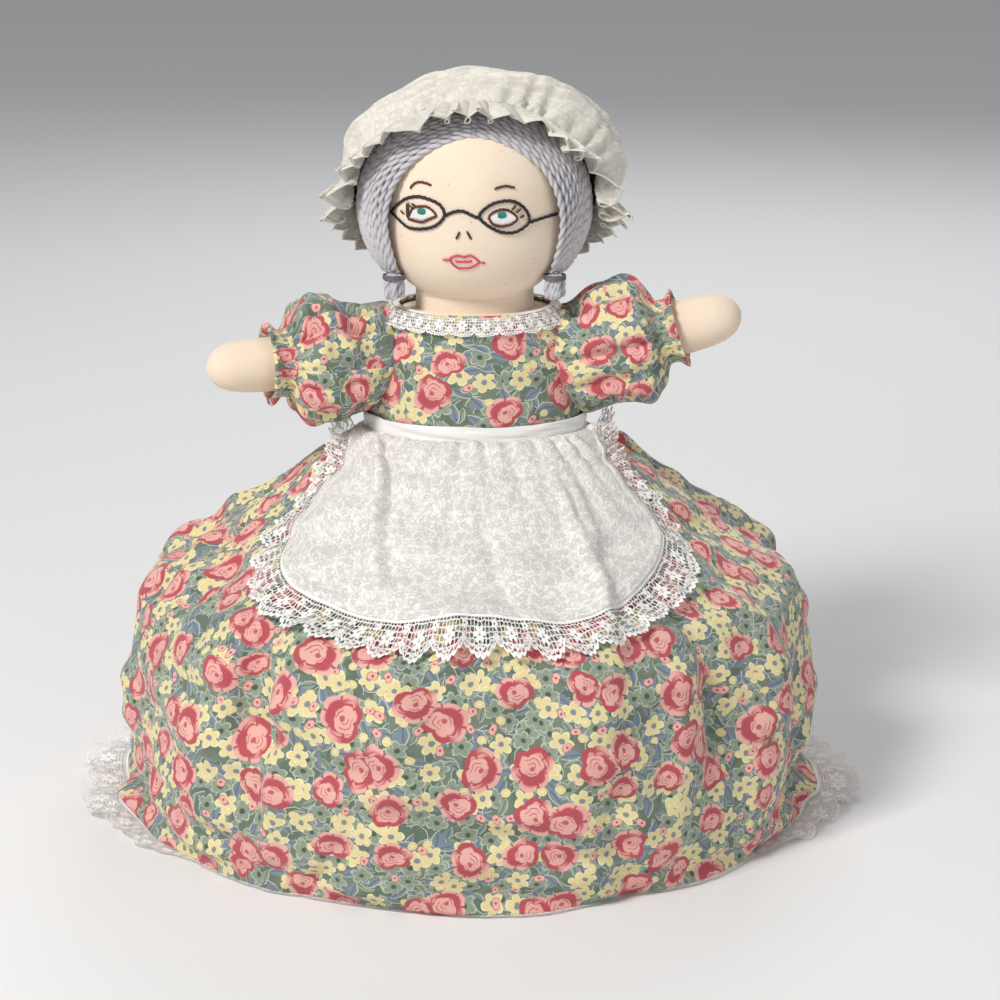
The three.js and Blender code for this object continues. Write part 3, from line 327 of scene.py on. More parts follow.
def makeCalico():
    # Leaves, small flowers and roses in layers over a mottled ground, their edges bent by noise
    material, tree, shader = newMaterial("roseCalico")
    where = uvPlace(tree)
    wobble = put(tree, "ShaderNodeTexNoise", {"Vector": where, "Scale": 160.0, "Detail": 2.0}).outputs[1]
    drawn = vec(tree, "ADD", where, vec(tree, "SCALE", wobble, 0.0022))
    colour = mixColour(tree, soft(tree, noise(tree, where, 55.0, 3.0), 0.4, 0.6), calico["ground"],
                       calico["groundDark"])
    for scale, shift, size, tone in [
            (100.0, (3.1, 7.7, 0), 0.52, "leafBlue"), (104.0, (11.3, 1.9, 0), 0.5, "leafGreen"),
            (112.0, (19.6, 6.2, 0), 0.46, "leafPale"), (96.0, (5.9, 17.3, 0), 0.5, "leafBlue")]:
        leaf = useGroup(tree, leafShape, {"Place": drawn, "Scale": scale, "Shift": shift, "Size": size})
        inked = mixColour(tree, leaf["Rib"], calico[tone], calico["rib"])
        inked = mixColour(tree, leaf["Lip"], inked, calico["lip"])
        colour = mixColour(tree, leaf["Mask"], colour, inked)
    for scale, shift, size, petals, sparse, pale, lip, eye in [
            (84.0, (2.3, 9.1, 0), 0.42, 5.0, 0.4, "sage", "sageLip", "sageEye"),
            (88.0, (21.3, 3.1, 0), 0.4, 5.0, 0.55, "sage", "sageLip", "sageEye"),
            (74.0, (8.7, 4.4, 0), 0.38, 5.0, 0.45, "yellow", "yellowLip", "yellowEye"),
            (79.0, (15.2, 12.6, 0), 0.38, 5.0, 0.62, "yellow", "yellowLip", "yellowEye"),
            (128.0, (1.2, 3.4, 0), 0.3, 2.0, 0.78, "rosePale", "roseDeep", "roseDeep"),
            (126.0, (6.6, 2.2, 0), 0.25, 0.0, 0.72, "yellow", "yellow", "yellowLip")]:
        flower = useGroup(tree, blossomShape, {
            "Place": drawn, "Scale": scale, "Shift": shift, "Size": size, "Petals": petals,
            "Sparse": sparse})
        inked = mixColour(tree, times(tree, flower["Shade"], 0.85), calico[pale], calico[lip])
        inked = mixColour(tree, flower["Eye"], inked, calico[eye])
        colour = mixColour(tree, flower["Mask"], colour, inked)
    rose = useGroup(tree, roseShape, {"Place": drawn, "Scale": 40.0, "Shift": (4.5, 2.5, 0), "Size": 0.345})
    pale = mixColour(tree, times(tree, rose["Tone"], 0.5), calico["rosePale"], calico["budPale"])
    colour = mixColour(tree, rose["Mask"], colour, mixColour(tree, rose["Shade"], calico["roseDeep"], pale))
    clothFinish(tree, shader, colour, where, 2200.0, 0.14, 0.22)
    return material


def makeDitsy():
    # The girl's cloth: dusty rose with scattered small flowers
    material, tree, shader = newMaterial("ditsyCotton")
    where = uvPlace(tree)
    colour = mixColour(tree, soft(tree, noise(tree, where, 60.0), 0.4, 0.6), rgb(176, 108, 108),
                       rgb(166, 98, 100))
    for scale, shift, size, petals, sparse, pale, eye in [
            (95.0, (2.3, 9.1, 0), 0.3, 5.0, 0.2, rgb(240, 226, 206), rgb(200, 150, 70)),
            (120.0, (7.3, 5.1, 0), 0.2, 4.0, 0.4, rgb(96, 116, 92), rgb(96, 116, 92))]:
        flower = useGroup(tree, blossomShape, {
            "Place": where, "Scale": scale, "Shift": shift, "Size": size, "Petals": petals,
            "Sparse": sparse})
        colour = mixColour(tree, flower["Mask"], colour, mixColour(tree, flower["Eye"], pale, eye))
    clothFinish(tree, shader, colour, where, 2200.0, 0.14, 0.22)
    return material


def makeMuslin():
    # Cream muslin with faint slubs and a few brown specks of seed
    material, tree, shader = newMaterial("creamMuslin")
    where = objectPlace(tree)
    blotch = noise(tree, where, 30.0, 3.0)
    colour = mixColour(tree, soft(tree, blotch, 0.3, 0.7), rgb(253, 235, 213), rgb(248, 226, 202))
    fleck = soft(tree, noise(tree, where, 520.0, 1.0), 0.73, 0.8)
    colour = mixColour(tree, times(tree, fleck, 0.45), colour, rgb(176, 140, 100))
    parts = put(tree, "ShaderNodeSeparateXYZ", {0: where}).outputs
    flat = put(tree, "ShaderNodeCombineXYZ", {0: calc(tree, "MULTIPLY_ADD", parts[1], 0.4, parts[0]),
                                              1: calc(tree, "MULTIPLY_ADD", parts[1], 0.3,
                                                      parts[2])}).outputs[0]
    clothFinish(tree, shader, colour, flat, 1500.0, 0.06, 0.3, 0.9, 0.2)
    return material


def makeYarn(name, pale, dark, deep, pitch=0.0052):
    # Plied wool: u is the length, v a hundredth for each turn round it; painted shade, the third colour,
    # laid in the hollow between the two plies
    material, tree, shader = newMaterial(name)
    where = uvPlace(tree)
    parts = put(tree, "ShaderNodeSeparateXYZ", {0: where}).outputs
    phase = less(tree, times(tree, parts[1], 200 * tau), times(tree, parts[0], tau / pitch))
    paintedGrooveShade = soft(tree, calc(tree, "COSINE", phase), -0.1, -0.95)
    fibre = noise(tree, vec(tree, "MULTIPLY", where, (260, 2400, 1)), 1.0, 3.0, 0.6)
    patch = noise(tree, where, 40.0, 2.0)
    share = calc(tree, "ADD", times(tree, fibre, 0.7), times(tree, patch, 0.3))
    colour = mixColour(tree, soft(tree, share, 0.35, 0.65), dark, pale)
    # painted shade: the hollow between the plies is darkened towards the third colour
    colour = mixColour(tree, times(tree, paintedGrooveShade, 0.6), colour, deep)
    dress(tree, shader, colour, fibre, 0.5, 0.0004, {
        "Roughness": 0.95, "Sheen Weight": 0.4, "Specular IOR Level": 0.15})
    return material


def makeWhitework(name, ground, ink, scale, strength):
    # White cotton with a tone-on-tone print of curling stems and petals
    material, tree, shader = newMaterial(name)
    where = uvPlace(tree)
    bend = put(tree, "ShaderNodeTexNoise",
               {"Vector": where, "Scale": scale * 0.9, "Detail": 1.0}).outputs[1]
    curled = vec(tree, "ADD", where, vec(tree, "SCALE", bend, 0.9 / scale))
    band = calc(tree, "SINE", times(tree, noise(tree, curled, scale, 1.0), 46.0))
    stems = soft(tree, band, 0.25, 0.75)
    petals = useGroup(tree, leafShape,
                      {"Place": curled, "Scale": scale * 2.2, "Shift": (1.7, 3.3, 0), "Size": 0.55})
    flower = useGroup(tree, blossomShape, {"Place": curled, "Scale": scale * 1.3, "Shift": (5.2, 2.1, 0),
                                           "Size": 0.4, "Petals": 5.0, "Sparse": 0.2})
    drawn = calc(tree, "MAXIMUM", times(tree, petals["Mask"], less(tree, 1.0, petals["Rib"])), stems)
    drawn = calc(tree, "MAXIMUM", times(tree, drawn, 0.8),
                 times(tree, flower["Mask"], less(tree, 1.0, flower["Eye"])))
    colour = mixColour(tree, times(tree, drawn, strength), ground, ink)
    clothFinish(tree, shader, colour, where, 2300.0, 0.05, 0.2, 0.82, 0.15)
    return material


def buildLace(tree, given):
    # Lace strip: u along it and v across it in metres; net, flowers in each repeat, a corded scalloped edge
    parts = put(tree, "ShaderNodeSeparateXYZ", {0: given["Place"]}).outputs
    u, v = parts[0], parts[1]
    turns = calc(tree, "DIVIDE", u, given["Repeat"])
    arch = magnitude(tree, calc(tree, "SINE", times(tree, turns, math.pi)))
    small = magnitude(tree, calc(tree, "SINE", times(tree, turns, math.pi * 6)))
    edge = less(tree, given["Width"], times(tree, less(tree, 1.0, arch), times(tree, given["Width"], 0.2)))
    edge = less(tree, edge, times(tree, less(tree, 1.0, small), 0.0008))
    inside = soft(tree, less(tree, edge, v), -0.0001, 0.0001)
    net = put(tree, "ShaderNodeTexVoronoi",
              {"Vector": given["Place"], "Scale": given["Net"], "Randomness": 0.35},
              voronoi_dimensions="2D", feature="DISTANCE_TO_EDGE").outputs["Distance"]
    mesh = soft(tree, net, given["Thread"], times(tree, given["Thread"], 0.5))
    cord = soft(tree, magnitude(tree, less(tree, less(tree, edge, v), 0.0005)), 0.0007, 0.0004)
    inner = magnitude(tree, less(tree, less(tree, edge, v), times(tree, given["Width"], 0.17)))
    cord = calc(tree, "MAXIMUM", cord, times(tree, soft(tree, inner, 0.0006, 0.0003), 0.8))
    motif = None
    for shiftU, share, size, petals in [(0.0, 0.5, 0.22, 6.0), (0.5, 0.3, 0.14, 5.0),
                                        (0.5, 0.62, 0.12, 4.0)]:
        near = less(tree, calc(tree, "FRACT", calc(tree, "ADD", turns, shiftU)), 0.5)
        dx = times(tree, near, given["Repeat"])
        dy = less(tree, v, times(tree, given["Width"], share))
        reach = calc(tree, "SQRT", calc(tree, "ADD", times(tree, dx, dx), times(tree, dy, dy)))
        turn = calc(tree, "ARCTAN2", dy, dx)
        lobes = calc(tree, "MULTIPLY_ADD",
                     magnitude(tree, calc(tree, "COSINE", times(tree, turn, petals / 2))), 0.55, 0.45)
        out = calc(tree, "DIVIDE", reach, times(tree, times(tree, given["Width"], size), lobes))
        flower = times(tree, soft(tree, out, 1.05, 0.9), soft(tree, out, 0.15, 0.3))
        motif = flower if motif is None else calc(tree, "MAXIMUM", motif, flower)
    header = soft(tree, v, 0.0024, 0.0019)
    whole = calc(tree, "MAXIMUM", calc(tree, "MAXIMUM", mesh, motif), calc(tree, "MAXIMUM", cord, header))
    return {"Alpha": times(tree, whole, inside),
            "Height": calc(tree, "MAXIMUM", calc(tree, "MAXIMUM", motif, header), cord)}


laceGroup = makeGroup("netLace",
                      [("Place", "vector", None), ("Width", "number", 0.013), ("Repeat", "number", 0.013),
                                  ("Net", "number", 900.0), ("Thread", "number", 0.16)], [
    ("Alpha", "number"), ("Height", "number")], buildLace)


def makeLace(name, width, repeat, net=850.0, thread=0.2):
    # White thread where the lace's mask has it, see-through elsewhere
    material, tree, shader = newMaterial(name)
    where = uvPlace(tree)
    lace = useGroup(tree, laceGroup,
                    {"Place": where, "Width": width, "Repeat": repeat, "Net": net, "Thread": thread})
    weave = useGroup(tree, weaveGroup, {"Place": where, "Threads": 3600.0, "Fade": 0.08})
    tone = mixColour(tree, lace["Height"], rgb(236, 232, 229), rgb(250, 248, 245))
    tree.links.new(lace["Alpha"], shader.inputs["Alpha"])
    dress(tree, shader, tinted(tree, weave, 0.5, tone), lace["Height"], 0.6, 0.0005, {
        "Roughness": 0.8, "Sheen Weight": 0.2})
    return material


def makeSatin():
    # White satin with fine ribs along the ribbon
    material, tree, shader = newMaterial("satinRibbon")
    where = uvPlace(tree)
    rib = noise(tree, vec(tree, "MULTIPLY", where, (120, 3200, 1)), 1.0, 2.0)
    colour = mixColour(tree, rib, rgb(232, 231, 229), rgb(248, 247, 245))
    dress(tree, shader, colour, rib, 0.15, 0.0002, {
        "Roughness": 0.42, "Sheen Weight": 0.3, "Anisotropic": 0.4})
    return material


def makeThread(name, colour, pale):
    # Stranded embroidery cotton, a soft gloss, with its strands' streaks
    material, tree, shader = newMaterial(name)
    where = objectPlace(tree)
    streak = noise(tree, where, 2600.0, 2.0)
    twisted = mixColour(tree, soft(tree, streak, 0.45, 0.7), colour, pale)
    dress(tree, shader, twisted, streak, 0.4, 0.0002, {"Roughness": 0.55})
    return material


finishes = {
    "calico": makeCalico(),
    "ditsy": makeDitsy(),
    "muslin": makeMuslin(),
    # each yarn's third colour is the painted shade in the hollow between its plies
    "greyYarn": makeYarn("greyYarn", rgb(216, 213, 217), rgb(186, 183, 188), rgb(120, 117, 125)),
    "brownYarn": makeYarn("brownYarn", rgb(140, 98, 66), rgb(104, 70, 46), rgb(58, 36, 24)),
    "capCotton": makeWhitework("capCotton", rgb(240, 235, 225), rgb(216, 212, 200), 70.0, 0.7),
    "apronCotton": makeWhitework("apronCotton", rgb(250, 247, 241), rgb(212, 210, 205), 165.0, 0.85),
    "apronLace": makeLace("apronLace", 0.0135, 0.0145, 560.0, 0.17),
    "hemLace": makeLace("hemLace", 0.021, 0.0165, 620.0, 0.2),
    "neckLace": makeLace("neckLace", 0.0115, 0.0105),
    "satin": makeSatin(),
    "blackThread": makeThread("blackThread", rgb(20, 16, 20), rgb(60, 54, 60)),
    "brownThread": makeThread("brownThread", rgb(78, 30, 22), rgb(120, 62, 48)),
    "greenThread": makeThread("greenThread", rgb(38, 52, 44), rgb(70, 84, 74)),
    "tealThread": makeThread("tealThread", rgb(26, 122, 112), rgb(90, 170, 156)),
    "whiteThread": makeThread("whiteThread", rgb(238, 236, 230), rgb(250, 249, 246)),
    "pinkThread": makeThread("pinkThread", rgb(206, 58, 92), rgb(236, 110, 132)),
    "tieThread": makeThread("tieThread", rgb(96, 92, 102), rgb(132, 128, 138)),
    "creamThread": makeThread("creamThread", rgb(226, 206, 172), rgb(242, 226, 196)),
}
print("stage: finishes made")


# mesh helpers
def addObject(name, points, faces, corners, material):
    # points in millimetres; corners is one UV pair for each face corner, in metres of cloth
    mesh = bpy.data.meshes.new(name)
    mesh.from_pydata((points * mm).tolist(), [], faces.tolist())
    if corners is not None:
        layer = mesh.uv_layers.new(name="cloth")
        layer.data.foreach_set("uv", corners.astype(np.float32).ravel())
    mesh.materials.append(material)
    made = bpy.data.objects.new(name, mesh)
    bpy.context.scene.collection.objects.link(made)
    work = bmesh.new()
    work.from_mesh(mesh)
    bmesh.ops.remove_doubles(work, verts=work.verts, dist=1e-6)
    work.to_mesh(mesh)
    work.free()
    mesh.polygons.foreach_set("use_smooth", [True] * len(mesh.polygons))
    mesh.update()
    return made


def quads(rows, cols, ring):
    # Faces of a grid; where ring, the last column joins the first
    i, j = np.meshgrid(np.arange(rows - 1), np.arange(cols if ring else cols - 1), indexing="ij")
    nxt = (j + 1) % cols
    faces = np.stack([i * cols + j, i * cols + nxt, (i + 1) * cols + nxt, (i + 1) * cols + j], -1)
    spots = np.stack([np.stack([i, j], -1), np.stack([i, j + 1], -1),
                      np.stack([i + 1, j + 1], -1), np.stack([i + 1, j], -1)], -2)
    return faces.reshape(-1, 4), spots.reshape(-1, 2)


def grid(name, points, material, uv=None, ring=False, flip=False):
    # A surface from an array of rows and columns of points; uv has one more column where ring
    rows, cols = points.shape[:2]
    faces, spots = quads(rows, cols, ring)
    corners = None if uv is None else uv[spots[:, 0], spots[:, 1]]
    if flip:
        faces = faces[:, ::-1]
        corners = None if corners is None else corners.reshape(-1, 4, 2)[:, ::-1].reshape(-1, 2)
    return addObject(name, points.reshape(-1, 3), faces, corners, material)


def thicken(made, thickness, offset=-1.0):
    # Gives a surface a wall; offset -1 puts it inside, 1 outside and 0 half each way
    wall = made.modifiers.new("cloth", "SOLIDIFY")
    wall.thickness = thickness * mm
    wall.offset = offset
    wall.use_even_offset = False
    return made


def smoothstep(value, low, high):
    # 0 at low, 1 at high, by three squares less two cubes of the share between; low may be the larger
    share = np.clip((value - low) / (high - low), 0, 1)
    return share * share * (3 - 2 * share)


def unit(vectors):
    return vectors / np.maximum(np.linalg.norm(vectors, axis=-1, keepdims=True), 1e-9)


def waves(a, b, seed, count=6, low=1.0, high=4.0):
    # Smooth seeded unevenness: a sum of cosines in a and b, about -1 to 1; whole numbers of turns in a
    rng = np.random.default_rng(seed)
    total = np.zeros(np.broadcast(a, b).shape)
    for _ in range(count):
        total = total + np.cos(np.round(rng.uniform(low, high)) * a + rng.uniform(-high, high) * b
                               + rng.uniform(0, tau))
    return total / math.sqrt(count)


def rowLengths(points):
    # Length along the rows, from the first, at each row and column
    steps = np.linalg.norm(np.diff(points, axis=0), axis=-1)
    return np.concatenate([np.zeros((1,) + steps.shape[1:]), np.cumsum(steps, axis=0)])


def around(count, start=0.0):
    # One row of angles round a piece
    return np.arange(count)[None] / count * tau + start


def stripUv(share, strip):
    # u along a strip closed in a ring and v across it, in metres
    u = np.linspace(0, strip["long"], strip["count"] + 1)
    return np.stack(np.broadcast_arrays(u[None], share * strip["deep"]), -1)


def closedEnds(steps):
    # The share of its radius that a tube has at each step: nearly none at both ends
    return np.concatenate([[0.05], np.ones(steps - 2), [0.05]])


def upperHalf(points):
    # From the half doll's frame to the shared frame
    return points + np.array([doll["axisX"], doll["axisY"], doll["waist"]])


def lowerHalf(points):
    # The same for the hidden half, which is turned half round about Y
    return points * np.array([-1, 1, -1]) + np.array([doll["axisX"], doll["axisY"], doll["waist"]])


def strands(name, paths, normals, radius, material, sides, plies, pitch, lobe, fade=None):
    # Tubes carried along many paths at once: path + r (cos t normal + sin t side), r = radius (1 + lobe
    # cos(plies t - turns))
    count, steps = paths.shape[:2]
    ahead = unit(np.gradient(paths, axis=1))
    normals = unit(normals - (normals * ahead).sum(-1, keepdims=True) * ahead)
    side = np.cross(ahead, normals)
    lengths = np.concatenate([np.zeros((count, 1)),
                              np.cumsum(np.linalg.norm(np.diff(paths, axis=1), axis=-1), axis=1)], 1)
    t = np.arange(sides) / sides * tau
    turn = lengths[..., None] / pitch * tau / plies
    start = np.random.default_rng(count).uniform(0, tau, count)[:, None, None]
    r = radius[..., None] * (1 + lobe * np.cos(plies * (t - turn) + start))
    if fade is not None:
        r = r * fade[None, :, None]
    points = (paths[:, :, None] + r[..., None]
              * (np.cos(t)[None, None, :, None] * normals[:, :, None]
                 + np.sin(t)[None, None, :, None] * side[:, :, None]))
    faces, spots = quads(steps, sides, True)
    offsets = np.arange(count) * steps * sides
    allFaces = (faces[None] + offsets[:, None, None]).reshape(-1, 4)
    sweep = (np.arange(sides + 1) / sides + start / plies / tau) * 0.01
    uv = np.stack(np.broadcast_arrays(lengths[..., None] * mm, sweep), -1)
    corners = uv[:, spots[:, 0], spots[:, 1]].reshape(-1, 2)
    return addObject(name, points.reshape(-1, 3), allFaces, corners, material)


def finishPiece(made, bodyName=None, blend=None, stands=()):
    # Hangs the piece on its body, or bakes its place where blended; hides the solids that it stands for
    if blend:
        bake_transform(made)
    else:
        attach(made, bodyName)
    if stands:
        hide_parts(*stands)
    return made


def stitches(name, points, normals, width, height, material):
    # Flat oval threads between pairs of points, each a spindle of seven rings that ends in a point
    start, end = points[:, 0], points[:, 1]
    share = np.array([0, 0.06, 0.2, 0.5, 0.8, 0.94, 1.0])
    full = np.array([0.02, 0.55, 0.95, 1.0, 0.95, 0.55, 0.02])
    paths = start[:, None] + share[None, :, None] * (end - start)[:, None]
    paths = paths + normals[:, None] * (height * 0.7 * full - height * 0.25)[None, :, None]
    ahead = unit(end - start)
    side = unit(np.cross(ahead, normals))
    t = np.arange(6) / 6 * tau
    ringX = np.cos(t)[None, None, :, None] * side[:, None, None] * width / 2
    ringY = np.sin(t)[None, None, :, None] * normals[:, None, None] * height / 2
    points = paths[:, :, None] + (ringX + ringY) * full[None, :, None, None]
    faces, spots = quads(len(share), 6, True)
    allFaces = (faces[None] + (np.arange(len(start)) * len(share) * 6)[:, None, None]).reshape(-1, 4)
    return addObject(name, points.reshape(-1, 3), allFaces, None, material)


# bodies: torso, head and arms, stuffed muslin
body = {"length": 60.0, "taper": 66.0, "waistWide": 48.0, "waistDeep": 30.0, "neckWide": 24.0,
        "neckDeep": 20.0,
        "low": 0.6, "top": 59.4, "seatWide": 27.6, "seatDeep": 18.0, "cols": 96}


def torsoHalf(height):
    # Half width and half depth: neck plus the rest times the root of one less the cube of height over taper
    full = np.sqrt(1 - np.clip(np.abs(height) / body["taper"], 0, 1) ** 3)
    return (body["neckWide"] + (body["waistWide"] - body["neckWide"]) * full,
            body["neckDeep"] + (body["waistDeep"] - body["neckDeep"]) * full)


def ringGrid(heights, halfX, halfY, cols):
    # An oval at each height: half width times the cosine, half depth times the sine
    angle = np.arange(cols) / cols * tau
    return np.stack([halfX[:, None] * np.cos(angle), halfY[:, None] * np.sin(angle),
                     np.broadcast_to(heights[:, None], (len(heights), cols))], -1)


def makeTorso(name, half):
    # Rings up the torso, then inwards over the shoulders to the neck's seat
    up = np.linspace(body["low"], body["top"], 36)
    wide, deep = torsoHalf(up)
    inwards = np.linspace(1, 0, 8)
    topX = body["seatWide"] + (wide[-1] - body["seatWide"]) * inwards
    topY = body["seatDeep"] + (deep[-1] - body["seatDeep"]) * inwards
    topZ = body["top"] + np.sin((1 - inwards) * math.pi / 2)
    closing = np.array([1.0, 0.5, 0.02])
    heights = np.concatenate([[body["low"]] * 2, up, topZ, [58.0, 57.0, 57.0]])
    halfX = np.concatenate([wide[0] * np.array([0.01, 0.6]), wide, topX, 27.0 * closing])
    halfY = np.concatenate([deep[0] * np.array([0.01, 0.6]), deep, topY, 17.4 * closing])
    points = half(ringGrid(heights, halfX, halfY, body["cols"]))
    made = grid(name, points, finishes["muslin"], ring=True)
    return made


head = {"centre": 108.0, "wide": 44.0, "deep": 37.0, "high": 44.0, "power": 2.5, "neckWide": 27.6,
        "neckDeep": 18.8, "cols": 144}


def headShare(height):
    # Share of the head's half width at a height: a rounded oval of the given power
    return (1 - np.clip(np.abs((height - head["centre"]) / head["high"]), 0, 1) ** head["power"]) ** (1
        / head["power"])


def headHalf(height):
    # Head and neck together: whichever is wider, with a crease where the chin meets the neck
    share = headShare(height)
    neck = (height < 90) * 1.0
    crease = 1 - 0.05 * np.exp(-((height - 72.5) / 2.2) ** 2)
    wide = np.maximum(head["wide"] * share, head["neckWide"] * neck * crease)
    deep = np.maximum(head["deep"] * share, head["neckDeep"] * neck * crease)
    return wide, deep


def onFace(x, height, proud=0.0):
    # The head's front at a place seen from the front, so far proud of it
    wide, deep = headHalf(height)
    share = np.clip(1 - (x / wide) ** 2, 0.01, 1)
    y = -deep * np.sqrt(share)
    normal = unit(np.stack([x / wide ** 2, y / deep ** 2,
                            (height - head["centre"]) / head["high"] ** 2 * 0.8], -1))
    return np.stack([x, y, height], -1) + normal * np.asarray(proud)[..., None], normal


def makeHead(name, half):
    # Ovals up the neck and head, drawn in at both ends, with small seeded lumps
    turn = np.linspace(0, math.pi, 90)[1:-1]
    heights = head["centre"] - head["high"] * np.cos(turn)
    heights = np.concatenate([np.linspace(58.0, heights[heights > 66][0] - 0.5, 14), heights[heights > 66]])
    heights = np.concatenate([heights, [head["centre"] + head["high"] - 0.01]])
    wide, deep = headHalf(heights)
    heights = np.concatenate([[heights[0]], heights])
    wide, deep = np.concatenate([[0.05], wide]), np.concatenate([[0.05], deep])
    wide[-1] = deep[-1] = 0.05
    points = ringGrid(heights, wide, deep, head["cols"])
    angle = around(head["cols"])
    lumps = waves(angle + 0 * heights[:, None], heights[:, None] / 26, 5, 7, 1, 4) * 0.25
    points[..., :2] *= (1 + lumps / 44)[..., None]
    made = grid(name, half(points), finishes["muslin"], ring=True)
    return made


arm = {"left": (-1, 0.0, 18.0), "right": (1, 17.0, 6.0), "outset": 48.0, "height": 36.0, "length": 80.0}


def armAxes(side, raised, forward):
    # Along the arm, across it and up from it, in the half doll's frame
    r, f = math.radians(raised), math.radians(forward)
    phi = -f if side > 0 else math.pi + f
    along = np.array([math.cos(phi) * math.cos(r), math.sin(phi) * math.cos(r), math.sin(r)])
    across = np.array([-math.sin(phi), math.cos(phi), 0.0])
    up = np.array([-math.sin(r) * math.cos(phi), -math.sin(r) * math.sin(phi), math.cos(r)])
    return np.array([side * arm["outset"], 0.0, arm["height"]]), along, across, up


armLine = np.array([[-5.0, 0.05], [-4.2, 5.0], [-2.0, 8.6], [2.0, 10.8], [12.0, 11.8], [30.0, 12.3],
                    [42.0, 12.5],
                    [52.0, 12.7], [58.0, 12.6], [64.0, 12.2], [70.0, 11.2], [74.5, 9.2], [77.5, 6.6],
                    [79.4, 3.2], [80.0, 0.05]])


def makeArm(name, half, side, raised, forward):
    # The stuffed arm turned about its axis, a little flatter than round, drawn in along the seam at top
    # and bottom
    origin, along, across, up = armAxes(side, raised, forward)
    t = np.linspace(0, 1, 76)
    steps = np.concatenate([[0], np.cumsum(np.linalg.norm(np.diff(armLine, axis=0), axis=1))])
    place = np.interp(t * steps[-1], steps, armLine[:, 0])
    radius = np.interp(t * steps[-1], steps, armLine[:, 1])
    angle = np.arange(64) / 64 * tau
    seam = 0.55 * np.exp(-((np.abs(np.sin(angle)) - 1) / 0.012) ** 2)
    lumps = waves(angle[None] + 0 * place[:, None], place[:, None] / 14, 11 + side, 6, 1, 3) * 0.22
    puckers = 0.18 * np.cos(place[:, None] * 2.6) * np.exp(-((np.abs(np.sin(angle[None])) - 1) / 0.05) ** 2)
    r = radius[:, None] * (1 + 0.02 * lumps) - (seam[None] + puckers) * np.minimum(1, radius / 9)[:, None]
    r = np.maximum(r, 0.04)
    points = origin + place[:, None, None] * along + r[..., None] * (
        np.cos(angle)[None, :, None] * across * 0.95 + np.sin(angle)[None, :, None] * up)
    made = grid(name, half(points), finishes["muslin"], ring=True, flip=True)
    return made


lowerArms = {"raised": 36.0, "forward": 5.0}
halves = [("upper", upperHalf), ("lower", lowerHalf)]


def armPlaces(name):
    # The side each arm is seen on, its sign, rise and swing; the lower half is turned over, which swaps
    # its sides
    for label, other in (("left", "right"), ("right", "left")):
        side, raised, forward = arm[label]
        if name == "upper":
            yield label, side, raised, forward
        else:
            yield other, side, lowerArms["raised"], lowerArms["forward"]


for name, half in halves:
    finishPiece(makeTorso(name + "_stuffed_body", half), "body", stands=[name + "_torso"])
    finishPiece(makeHead(name + "_muslin_head", half), name + "_head",
                stands=[name + "_head"])
    for seen, side, raised, forward in armPlaces(name):
        made = makeArm(f"{name}_muslin_arm_{seen}", half, side, raised, forward)
        finishPiece(made, f"{name}_arm_{seen}", stands=[f"{name}_arm_{seen}"])
print("stage: stuffed bodies")

